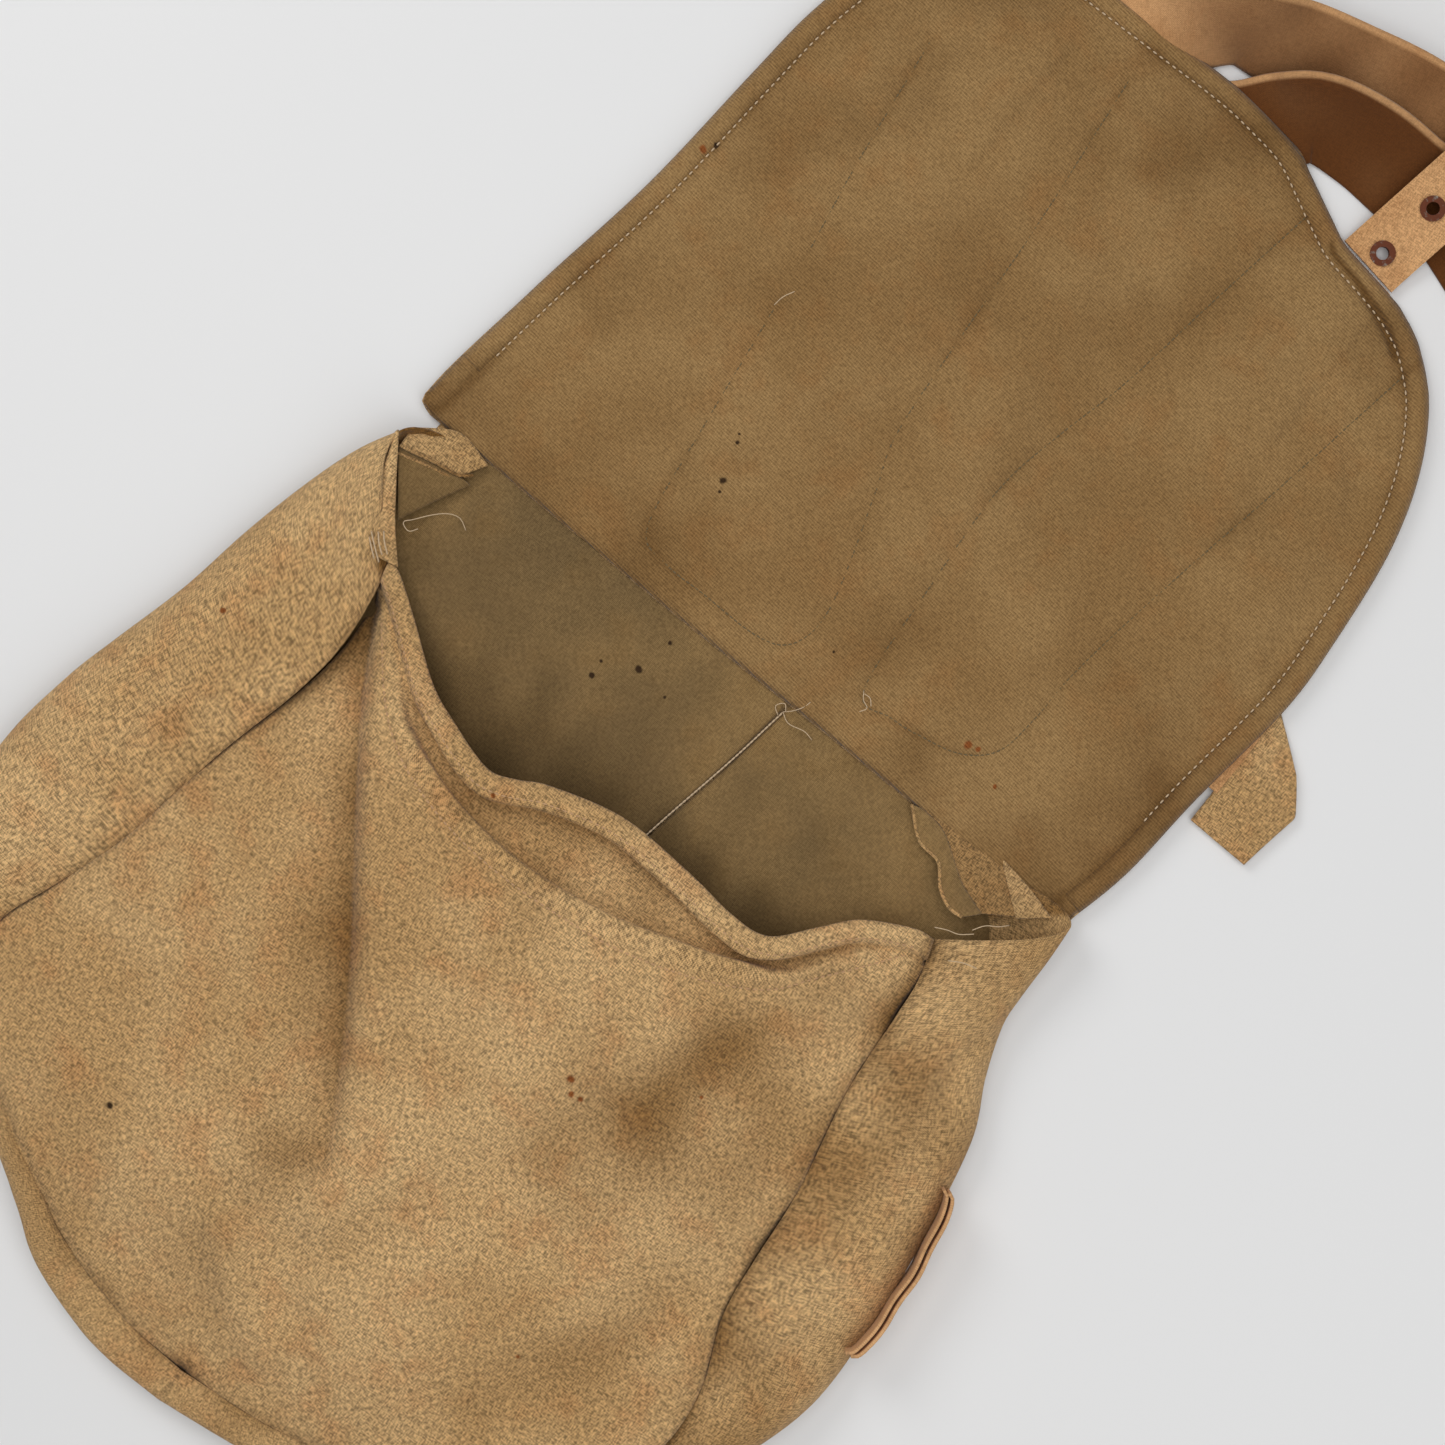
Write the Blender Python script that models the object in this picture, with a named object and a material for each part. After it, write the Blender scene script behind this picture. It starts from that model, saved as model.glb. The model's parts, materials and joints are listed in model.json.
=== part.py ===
"""Canvas mail sack: a gusseted satchel on its back, flap folded open, with webbing shoulder straps.

Metres, +Z up. The model is laid out from the middle of the flap's fold line: +Y runs to the flap's
free end, -Y to the bottom of the sack, +X across. At the end everything moves so that the origin is
the centre of the overall box, on the floor.
"""

import bmesh
import bpy
from math import acos, atan2, ceil, cos, hypot, pi, radians, sin, sqrt, tan
from mathutils import Matrix, Vector

# Clearances and cloths
GAP = 0.0003                # between layers that touch
SEAM_GAP = 0.0024           # between two panels along their seam
FOLD_GAP = 0.0016           # between the two sides of a fold, so that one side can stand up
CANVAS = 0.0012             # thickness of the outer canvas
DRILL = 0.0008              # thickness of the lining cloth
WEBBING = 0.0020            # thickness of the straps

# Sack body
MOUTH_WIDTH = 0.430         # across the fold line
SACK_LENGTH = 0.488         # fold line to the bottom of the gusset
FRONT_TOP = 0.345           # front panel, seam to seam at the mouth
FRONT_BOTTOM = 0.440        # front panel, seam to seam at the bottom
GUSSET_STANDS = 0.052       # how far the gusset stands out beyond the seams
PANEL_CORNER = 0.078        # bottom corner radius of the panels
GUSSET_CORNER = 0.150       # bottom corner radius of the silhouette
BACK_INSET = 0.010          # back seam inside the mouth's ends
MOUTH_CORNER_Y = -0.065     # where the front seams reach the mouth
MOUTH_SAG = 0.062           # how far the middle of the mouth hem hangs below its corners
MOUTH_CORNER_Z = 0.022      # height of the mouth's corners
SEAM_Z = 0.034              # height of the front seams
CROWN = 0.022               # how far the front panel rises above its seams
CREASE_Z = 0.018            # height of the gusset's outer crease
FACING_DEPTH = 0.050        # mouth facing, from the hem down
LINING_INSET = 0.006        # back lining inside the back seam
LINING_TOP_Y = -0.006
LINING_SPLIT = 0.0007       # between the lining's halves, along its centre seam
SHELL_STEP = 0.024          # length of a facet along a panel
SECTION_STEPS = 6           # facets across the gusset
GUSSET_STEPS = 34           # facets along half of the gusset

# Side loop on the right gusset
LOOP_TOP_Y = -0.154
LOOP_LENGTH = 0.090
LOOP_STANDS = 0.009
LOOP_TAPE = 0.022           # width of the tape
LOOP_LOW_Z = 0.009

# Flap
FLAP_LENGTH = 0.390
FLAP_START = 0.004          # gap between the fold line and the flap's layers
FLAP_CORNER = 0.098
FLAP_BULGE = 0.010          # how far the flap's right edge is wider than its fold
FLAP_TAPER = 0.020          # how far the flap's left edge draws in
FLAP_HEM = 0.012
FLAP_CLOSES = 0.005         # height of the fold line above the floor

# Strap backing patches: (x, y) of the rounded end, then of the square end, and the width
PATCH_WIDTH = 0.092
PATCH_LEFT = ((-0.038, 0.060), (-0.082, 0.345))
PATCH_RIGHT = ((0.090, 0.072), (0.126, 0.335))

# Shoulder straps
STRAP_WIDTH = 0.050
STRAP_SEWN_X = -0.093
STRAP_SEWN_START = 0.273
STRAP_SEWN_END = 0.330
TAIL_WIDTH = 0.0365
TAIL_X = 0.122
TAIL_SEWN_START = 0.259
TAIL_FOLD_Y = 0.366
TAIL_TILT = radians(9)
TAIL_LENGTH = 0.200
TAIL_HUMP = 0.023           # how far the tail rises over the strap beneath it
TAIL_HUMP_LENGTH = 0.190

# Eyelets
EYELET_COUNT = 5
EYELET_PITCH = 0.033
EYELET_FIRST = 0.0100       # from the tail's fold
EYELET_BORE = 0.0035        # radius
EYELET_WALL = 0.0006
EYELET_FLANGE = 0.00675     # radius
EYELET_SHEET = 0.0006
TURNED_SIDES = 20

# Tongue buckle
BUCKLE_WIRE = 0.0036
BUCKLE_LENGTH = 0.034
BUCKLE_CORNER = 0.0035
BUCKLE_PLAY = 0.004         # frame wider than the tail that goes through it
BUCKLE_FINGER = 0.004       # width of the prong
CHAPE_LENGTH = 0.040        # from the strap's end to the bar
CHAPE_LAP = 0.014
KEEPER_TAPE = 0.012
KEEPER_AT = 0.016           # from the bar to the keeper

# Side tab
TAB_WIDTH = 0.037
TAB_Y = 0.119
TAB_SEWN = 0.040
TAB_FREE = 0.040
TAB_TILT = radians(-28)


def clear_scene():
    for thing in list(bpy.data.objects):
        bpy.data.objects.remove(thing, do_unlink=True)


def finish(name, colour, roughness=0.9, metallic=0.0):
    """A Principled material, made once for each name."""
    made = bpy.data.materials.get(name)
    if made:
        return made
    made = bpy.data.materials.new(name)
    made.use_nodes = True
    shader = made.node_tree.nodes["Principled BSDF"]
    shader.inputs["Base Color"].default_value = (*colour, 1.0)
    shader.inputs["Roughness"].default_value = roughness
    shader.inputs["Metallic"].default_value = metallic
    return made


def canvas():
    return finish("canvas", (0.38, 0.24, 0.11))


def drill():
    return finish("lining_drill", (0.22, 0.15, 0.07))


def webbing():
    return finish("webbing", (0.42, 0.25, 0.11))


def rusty_steel():
    return finish("rusty_steel", (0.10, 0.05, 0.03), 0.7, 0.6)


def add(name, bm, material, parent=None, smooth=False):
    """Turns a bmesh into a named object with its faces pointing out."""
    bmesh.ops.recalc_face_normals(bm, faces=bm.faces)
    mesh = bpy.data.meshes.new(name)
    bm.to_mesh(mesh)
    bm.free()
    mesh.materials.append(material)
    if smooth:
        mesh.shade_smooth()
        mesh.set_sharp_from_angle(angle=radians(35))
    made = bpy.data.objects.new(name, mesh)
    bpy.context.scene.collection.objects.link(made)
    made.parent = parent
    return made


def pivot(name, place, parent):
    """An empty on a joint's axis; the moving pieces hang from it."""
    made = bpy.data.objects.new(name, None)
    bpy.context.scene.collection.objects.link(made)
    made.parent = parent
    made.location = Vector(place) - (world_place(parent) if parent else Vector())
    return made


def world_place(thing):
    place = Vector()
    while thing:
        place += thing.location
        thing = thing.parent
    return place


def hang(made, holder):
    """Parents a piece modelled in place to a joint's empty, and gives it that origin."""
    made.data.transform(Matrix.Translation(-world_place(holder)))
    made.parent = holder
    return made


def rounded(corners, step=radians(15)):
    """Outline through (x, y, radius) corners, with each corner rounded by an arc."""
    points = []
    for index, (x, y, radius) in enumerate(corners):
        here = Vector((x, y))
        before = (Vector(corners[index - 1][:2]) - here).normalized()
        after = (Vector(corners[(index + 1) % len(corners)][:2]) - here).normalized()
        if not radius:
            points.append(here)
            continue
        half = acos(max(-1.0, min(1.0, before.dot(after)))) / 2
        centre = here + (before + after).normalized() * radius / sin(half)
        start = here + before * radius / tan(half) - centre
        end = here + after * radius / tan(half) - centre
        turn = start.angle_signed(end)
        count = max(2, ceil(abs(turn) / step))
        for number in range(count + 1):
            angle = -turn * number / count
            points.append(centre + Matrix.Rotation(angle, 2) @ start)
    return points


def plate(name, outline, low, thick, material, parent=None):
    """A flat piece: an outline in X and Y, from height low upwards."""
    bm = bmesh.new()
    ring = [bm.verts.new((point[0], point[1], low)) for point in outline]
    base = bm.faces.new(ring)
    raised = bmesh.ops.extrude_face_region(bm, geom=[base])["geom"]
    lifted = [item for item in raised if isinstance(item, bmesh.types.BMVert)]
    bmesh.ops.translate(bm, verts=lifted, vec=(0, 0, thick))
    return add(name, bm, material, parent)


def shell(name, rows, thick, material, parent=None, sink=0.0):
    """A curved cloth panel: rows of points on its outer face, sunk inwards and thickened inwards."""
    bm = bmesh.new()
    grid = [[bm.verts.new(point) for point in row] for row in rows]
    for upper, lower in zip(grid, grid[1:]):
        for column in range(len(upper) - 1):
            bm.faces.new((upper[column], upper[column + 1], lower[column + 1], lower[column]))
    bm.normal_update()
    inward = [vert.normal.copy() for vert in bm.verts]
    for vert, normal in zip(bm.verts, inward):
        vert.co += normal * sink
    made = bpy.data.meshes.new(name)
    bm.to_mesh(made)
    bm.free()
    made.materials.append(material)
    piece = bpy.data.objects.new(name, made)
    bpy.context.scene.collection.objects.link(piece)
    piece.parent = parent
    wall = piece.modifiers.new("wall", "SOLIDIFY")
    wall.thickness = thick
    wall.offset = 1.0
    return piece


def smooth_route(stations, step):
    """Catmull-Rom curve through stations of any number of values, a point every step."""
    route = []
    ends = [stations[0], *stations, stations[-1]]
    for a, b, c, d in zip(ends, ends[1:], ends[2:], ends[3:]):
        count = max(1, ceil(hypot(c[0] - b[0], c[1] - b[1]) / step))
        for number in range(count):
            t = number / count
            route.append([
                0.5 * (2 * q + (r - p) * t + (2 * p - 5 * q + 4 * r - s) * t * t
                       + (3 * q - p - 3 * r + s) * t ** 3)
                for p, q, r, s in zip(a, b, c, d)])
    route.append(list(stations[-1]))
    return route


def ribbon(name, route, width, thick, material, parent=None):
    """A strap: a rectangle swept along (x, y, z, lean); lean lifts the strap's left edge."""
    bm = bmesh.new()
    rings = []
    for index, (x, y, z, lean) in enumerate(route):
        before = Vector(route[max(index - 1, 0)][:3])
        after = Vector(route[min(index + 1, len(route) - 1)][:3])
        along = (after - before).normalized()
        left = Vector((0, 0, 1)).cross(along).normalized()
        rise = along.cross(left)
        across = left * cos(lean) + rise * sin(lean)
        up = along.cross(across)
        corners = ((-1, -1), (1, -1), (1, 1), (-1, 1))
        rings.append([bm.verts.new(Vector((x, y, z)) + across * width / 2 * side + up * thick / 2 * face)
                      for side, face in corners])
    for first, second in zip(rings, rings[1:]):
        for corner in range(4):
            following = (corner + 1) % 4
            bm.faces.new((first[corner], first[following], second[following], second[corner]))
    bm.faces.new(rings[0])
    bm.faces.new(rings[-1])
    return add(name, bm, material, parent)


def turned(name, profile, material, parent=None):
    """A closed (radius, height) profile turned a full circle about Z."""
    bm = bmesh.new()
    ring = [bm.verts.new((radius, 0, height)) for radius, height in profile]
    edges = [bm.edges.new((a, b)) for a, b in zip(ring, ring[1:] + ring[:1])]
    bmesh.ops.spin(bm, geom=ring + edges, cent=(0, 0, 0), axis=(0, 0, 1), angle=2 * pi,
                   steps=TURNED_SIDES, use_merge=True)
    return add(name, bm, material, parent, smooth=True)


def blend(low, high, share):
    return low + (high - low) * share


def ease(share):
    share = max(0.0, min(1.0, share))
    return share * share * (3 - 2 * share)


# The sack's outline curves. Each gives half of a U: from the mouth down the left side, round the
# corner and along the bottom to the middle.

def half_u(half_top, half_bottom, y_top, y_bottom, corner):
    side_end = y_bottom + corner
    side_count = ceil((y_top - side_end) / SHELL_STEP)
    corner_count = 6
    bottom_count = ceil((half_bottom - corner) / SHELL_STEP / 2)
    points = [(-blend(half_top, half_bottom, n / side_count), blend(y_top, side_end, n / side_count))
              for n in range(side_count)]
    points += [(-(half_bottom - corner) - corner * cos(pi / 2 * n / corner_count),
                side_end - corner * sin(pi / 2 * n / corner_count)) for n in range(corner_count)]
    points += [(-(half_bottom - corner) * (1 - n / bottom_count), y_bottom)
               for n in range(bottom_count + 1)]
    return points


def resample(points, count):
    """The same curve with count equal steps."""
    lengths = [hypot(b[0] - a[0], b[1] - a[1]) for a, b in zip(points, points[1:])]
    total = sum(lengths)
    result, index, passed = [], 0, 0.0
    for number in range(count + 1):
        target = total * number / count
        while index < len(lengths) - 1 and passed + lengths[index] < target:
            passed += lengths[index]
            index += 1
        share = min(1.0, (target - passed) / lengths[index])
        result.append(tuple(blend(p, q, share) for p, q in zip(points[index], points[index + 1])))
    return result


FRONT_END_Y = -SACK_LENGTH + GUSSET_STANDS
BACK_END_Y = FRONT_END_Y - 0.014


def front_seam():
    return half_u(FRONT_TOP / 2, FRONT_BOTTOM / 2, MOUTH_CORNER_Y, FRONT_END_Y, PANEL_CORNER)


def outer_crease():
    return half_u(MOUTH_WIDTH / 2, FRONT_BOTTOM / 2 + GUSSET_STANDS, -0.016, -SACK_LENGTH,
                  GUSSET_CORNER)


def back_seam(inset=0.0):
    return half_u(MOUTH_WIDTH / 2 - BACK_INSET - inset, FRONT_BOTTOM / 2 - inset, -FLAP_START,
                  BACK_END_Y + inset, PANEL_CORNER - inset)


def seam_height(y):
    """Height of the front seam: low at the mouth's corners, full a third of the way down."""
    return blend(MOUTH_CORNER_Z, SEAM_Z, ease((MOUTH_CORNER_Y - y) / (SACK_LENGTH / 3)))


def front_half_width(y):
    """Half the front panel's width at y, inside the seam."""
    side_end = FRONT_END_Y + PANEL_CORNER
    if y >= side_end:
        share = (MOUTH_CORNER_Y - y) / (MOUTH_CORNER_Y - side_end)
        return blend(FRONT_TOP / 2, FRONT_BOTTOM / 2, share) - SEAM_GAP
    radius = PANEL_CORNER - SEAM_GAP
    drop = min(side_end - y, radius)
    return FRONT_BOTTOM / 2 - PANEL_CORNER + sqrt(radius ** 2 - drop ** 2)


def front_point(across, y):
    """A point on the front panel; across runs from -1 at the left seam to 1 at the right."""
    crown = CROWN * (1 - abs(across) ** 2.4)
    crown *= ease((y - FRONT_END_Y) / (SACK_LENGTH / 4)) * 0.75 + 0.25
    return (across * front_half_width(y), y, seam_height(y) + crown)


def front_rows(depth_from, depth_to):
    """Rows from one distance below the mouth hem to another; None means the bottom seam."""
    columns = 18
    rows_count = ceil((depth_to or SACK_LENGTH - 0.13) / SHELL_STEP)
    rows = []
    for row in range(rows_count + 1):
        line = []
        for column in range(columns + 1):
            across = 2 * column / columns - 1
            mouth = MOUTH_CORNER_Y - MOUTH_SAG * (1 - across * across)
            low = mouth - depth_to if depth_to else FRONT_END_Y + SEAM_GAP
            y = blend(mouth - depth_from, low, row / rows_count)
            line.append(front_point(across, y))
        rows.append(line)
    return rows


def gusset_rows(side):
    """Rows along the gusset from the mouth; each runs from the front seam over the crease to the
    back seam."""
    curves = [resample(curve, GUSSET_STEPS) for curve in (front_seam(), outer_crease(), back_seam())]
    rows = []
    for index in range(GUSSET_STEPS + 1):
        front, crease, back = (curve[index] for curve in curves)
        top = Vector((front[0], front[1], seam_height(front[1])))
        low = Vector((back[0], back[1], 0.0016))
        height = blend(0.007, CREASE_Z, ease(index / 4))
        outer = Vector((crease[0], crease[1], height))
        handle = outer * 2 - (top + low) / 2
        row = []
        for number in range(SECTION_STEPS + 1):
            share = number / SECTION_STEPS
            point = top * (1 - share) ** 2 + handle * 2 * share * (1 - share) + low * share ** 2
            if index == GUSSET_STEPS:
                point.x = -SEAM_GAP / 2
            row.append((point.x * -side, point.y, point.z))
        rows.append(row if side > 0 else row[::-1])
    return rows


def sack_body(root):
    edge = back_seam(SEAM_GAP)[:-1]
    plate("back_panel", edge + [(-x, y) for x, y in reversed(edge)], 0.0, CANVAS, canvas(), root)

    half = [(x, min(y, LINING_TOP_Y)) for x, y in back_seam(LINING_INSET)[:-1]]
    half += [(-LINING_SPLIT / 2, half[-1][1]), (-LINING_SPLIT / 2, LINING_TOP_Y)]
    for name, side in (("back_lining_left", 1), ("back_lining_right", -1)):
        plate(name, [(x * side, y) for x, y in half], CANVAS + GAP, DRILL, drill(), root)

    shell("front_panel", front_rows(0.0, None), CANVAS, canvas(), root)
    shell("front_facing", front_rows(0.001, FACING_DEPTH), DRILL, canvas(), root, CANVAS + 2 * GAP)
    for name, side in (("gusset_left", -1), ("gusset_right", 1)):
        shell(name, gusset_rows(side), CANVAS, canvas(), root)


def side_loop(root):
    """A tape staple on the right gusset's crease, open at top and bottom for a strap."""
    line = resample([(-x, y) for x, y in outer_crease()], 60)
    foot_top = min(line, key=lambda p: abs(p[1] - LOOP_TOP_Y))
    foot_low = min(line, key=lambda p: abs(p[1] - LOOP_TOP_Y + LOOP_LENGTH))
    along = (Vector(foot_low) - Vector(foot_top)).normalized()
    out = Vector((-along.y, along.x))
    length = (Vector(foot_low) - Vector(foot_top)).length
    tape = WEBBING * 0.8
    clear = 0.004
    far = clear + LOOP_STANDS - tape
    profile = [(0, clear), (0.012, far), (length - 0.012, far), (length, clear),
               (length, clear + tape), (length - 0.011, far + tape), (0.011, far + tape),
               (0, clear + tape)]
    outline = [Vector(foot_top) + along * s + out * h for s, h in profile]
    plate("side_loop", outline, LOOP_LOW_Z, LOOP_TAPE, webbing(), root)


# Heights of the layers where the flap lies, from the floor up

RETURN_LOW = GAP
STRAP_LOW = RETURN_LOW + WEBBING + GAP
PATCH_LOW = STRAP_LOW + WEBBING + GAP
FLAP_LOW = PATCH_LOW + DRILL + GAP
LINING_LOW = FLAP_LOW + CANVAS + GAP
HEM_LOW = LINING_LOW + DRILL + GAP


def flap_corners(inset):
    """The flap's outline, drawn in by inset; the far right corner is cut back for the tail."""
    half = MOUTH_WIDTH / 2
    far = FLAP_LENGTH - inset
    return [(-half - 0.004 + inset, FLAP_START + inset, 0.008),
            (-half + FLAP_TAPER + inset, far, FLAP_CORNER - inset),
            (half - 0.155 - inset * 0.15, far - 0.005, FLAP_CORNER - inset),
            (half - 0.010 - inset, far - 0.068, FLAP_CORNER - inset),
            (half + FLAP_BULGE + 0.012 - inset, FLAP_LENGTH * 0.38, 0.120 - inset),
            (half - inset, FLAP_START + inset, 0.008)]


def tongue(rounded_end, square_end, width):
    start, end = Vector(rounded_end), Vector(square_end)
    along = (end - start).normalized()
    side = Vector((-along.y, along.x)) * width / 2
    centre = start
    arc = []
    for number in range(13):
        angle = pi * number / 12
        arc.append(centre + side * cos(angle) - along * (width / 2) * sin(angle))
    return arc + [end - side, end + side]


def flap(root):
    holder = pivot("flap_fold", (0, 0, FLAP_CLOSES), root)
    plates = [plate("flap_outer", rounded(flap_corners(0.0)), FLAP_LOW, CANVAS, canvas()),
              plate("flap_lining", rounded(flap_corners(0.0015)), LINING_LOW, DRILL, drill())]
    outer = rounded(flap_corners(0.0))
    inner = rounded(flap_corners(FLAP_HEM))
    hem = [p for p in outer if p.y > FLAP_START + 0.007]
    hem_inner = [p for p in inner if p.y > FLAP_START + FLAP_HEM + 0.007]
    plates.append(plate("flap_hem", hem + hem_inner[::-1], HEM_LOW, CANVAS, canvas()))
    for name, (round_end, square_end) in (("strap_patch_left", PATCH_LEFT),
                                          ("strap_patch_right", PATCH_RIGHT)):
        plates.append(plate(name, tongue(round_end, square_end, PATCH_WIDTH), PATCH_LOW, DRILL,
                            canvas()))
    for piece in plates:
        hang(piece, holder)
    return holder


def long_strap(holder):
    """The long strap: sewn end, then the free part that loops round and ends at the buckle."""
    half = STRAP_WIDTH / 2
    sewn = [(STRAP_SEWN_X - half, STRAP_SEWN_START), (STRAP_SEWN_X + half, STRAP_SEWN_START),
            (STRAP_SEWN_X + half, STRAP_SEWN_END - GAP), (STRAP_SEWN_X - half, STRAP_SEWN_END - GAP)]
    hang(plate("long_strap_sewn_end", sewn, STRAP_LOW, WEBBING, webbing()), holder)

    upper = STRAP_LOW + WEBBING / 2
    lower = RETURN_LOW + WEBBING / 2

    def leaning(x, y, degrees, lift=0.0):
        lean = radians(degrees)
        return (x, y, lower + abs(sin(lean)) * half + lift, lean)

    stations = [
        (STRAP_SEWN_X, STRAP_SEWN_END + 2 * GAP, upper, 0.0),
        (STRAP_SEWN_X, STRAP_SEWN_END + 0.008, upper, 0.0),
        (STRAP_SEWN_X + 0.002, STRAP_SEWN_END + 0.020, upper, 0.0),
        (-0.076, 0.374, upper, 0.0),
        leaning(-0.046, 0.399, 8),
        leaning(-0.010, 0.419, 30),
        leaning(0.035, 0.434, 38),
        leaning(0.085, 0.444, 26),
        leaning(0.135, 0.451, 13),
        leaning(0.185, 0.463, 22),
        leaning(0.226, 0.462, 70),
        leaning(0.254, 0.436, 86),
        leaning(0.252, 0.404, 94),
        leaning(0.224, 0.388, 120),
        leaning(0.186, 0.398, 152),
        leaning(0.143, 0.413, 168),
        leaning(0.100, 0.413, 165),
        leaning(0.062, 0.406, 160),
        leaning(0.030, 0.389, 172),
        leaning(0.002, 0.366, 180),
        leaning(-0.040, 0.347, 180),
        leaning(-0.085, 0.343, 180),
        leaning(-0.130, 0.357, 180),
        leaning(*BUCKLE_BAR, 180),
    ]
    hang(ribbon("long_strap", smooth_route(stations, 0.012), STRAP_WIDTH, WEBBING, webbing()), holder)


# Where the long strap ends, past the flap's far left corner
BUCKLE_BAR = (-0.172, 0.377)
BUCKLE_HEADING = pi - radians(24)


def strap_frame(start, heading):
    """A point along a straight strap: distance along it, distance to its left, height."""
    along = Vector((cos(heading), sin(heading), 0))
    left = Vector((-along.y, along.x, 0))
    origin = Vector((start[0], start[1], 0))
    return lambda s, t, z=0.0: origin + along * s + left * t + Vector((0, 0, z))


def tail_height(s):
    """The tail rises over the long strap and comes down again beyond it."""
    share = max(0.0, min(1.0, s / TAIL_HUMP_LENGTH))
    return TAIL_HUMP * sin(pi * share) ** 2


def tail_strap(holder):
    """The short strap with the eyelets: sewn end on the flap, free part on its own fold."""
    heading = pi / 2 - TAIL_TILT
    place = strap_frame((TAIL_X, TAIL_FOLD_Y), heading)
    half = TAIL_WIDTH / 2
    sewn = [(TAIL_X - half, TAIL_SEWN_START), (TAIL_X + half, TAIL_SEWN_START),
            (TAIL_X + half, TAIL_FOLD_Y - FOLD_GAP - half * sin(TAIL_TILT)),
            (TAIL_X - half, TAIL_FOLD_Y - FOLD_GAP + half * sin(TAIL_TILT))]
    hang(plate("tail_sewn_end", sewn, STRAP_LOW, WEBBING, webbing()), holder)

    middle = STRAP_LOW + WEBBING / 2
    fold = pivot("tail_fold", (TAIL_X, TAIL_FOLD_Y, middle), holder)
    steps = ceil(TAIL_LENGTH / 0.010)
    route = []
    for number in range(steps + 1):
        s = TAIL_LENGTH * number / steps
        x, y, _ = place(s, 0)
        route.append((x, y, middle + tail_height(s), 0.0))
    tail = hang(ribbon("tail_strap", route, TAIL_WIDTH, WEBBING, webbing()), fold)

    barrel = EYELET_BORE + EYELET_WALL
    inner = WEBBING / 2 + 2 * GAP
    for number in range(EYELET_COUNT):
        s = EYELET_FIRST + EYELET_PITCH * number
        rise = (tail_height(s + 0.001) - tail_height(s - 0.001)) / 0.002
        turn = Matrix.Rotation(heading, 4, "Z") @ Matrix.Rotation(-atan2(rise, 1), 4, "Y")
        spot = Matrix.Translation(place(s, 0, middle + tail_height(s))) @ turn
        flange = [(EYELET_BORE, inner + EYELET_SHEET), (EYELET_BORE, -inner - 2 * EYELET_SHEET),
                  (barrel, -inner - 2 * EYELET_SHEET), (barrel, inner),
                  (EYELET_FLANGE, inner), (EYELET_FLANGE, inner + EYELET_SHEET)]
        washer = [(barrel + GAP, -inner - EYELET_SHEET), (EYELET_FLANGE, -inner - EYELET_SHEET),
                  (EYELET_FLANGE, -inner), (barrel + GAP, -inner)]
        for name, profile in (("eyelet", flange), ("eyelet_washer", washer)):
            made = turned(f"{name}_{number + 1}", profile, rusty_steel())
            made.data.transform(spot)
            hang(made, fold)
        reach = WEBBING * 2
        cutter = drill_bit(f"hole_cutter_{number + 1}", barrel + GAP, reach)
        cutter.data.transform(spot)
        hang(cutter, fold)
        cut = tail.modifiers.new(f"hole_{number + 1}", "BOOLEAN")
        cut.operation = "DIFFERENCE"
        cut.solver = "EXACT"
        cut.object = cutter


def drill_bit(name, radius, reach):
    """A cylinder that cuts a hole; it is not part of the sack."""
    bm = bmesh.new()
    bmesh.ops.create_cone(bm, cap_ends=True, segments=TURNED_SIDES, radius1=radius, radius2=radius,
                          depth=2 * reach)
    made = add(name, bm, rusty_steel())
    made.hide_render = True
    made.display_type = "WIRE"
    return made


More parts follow.
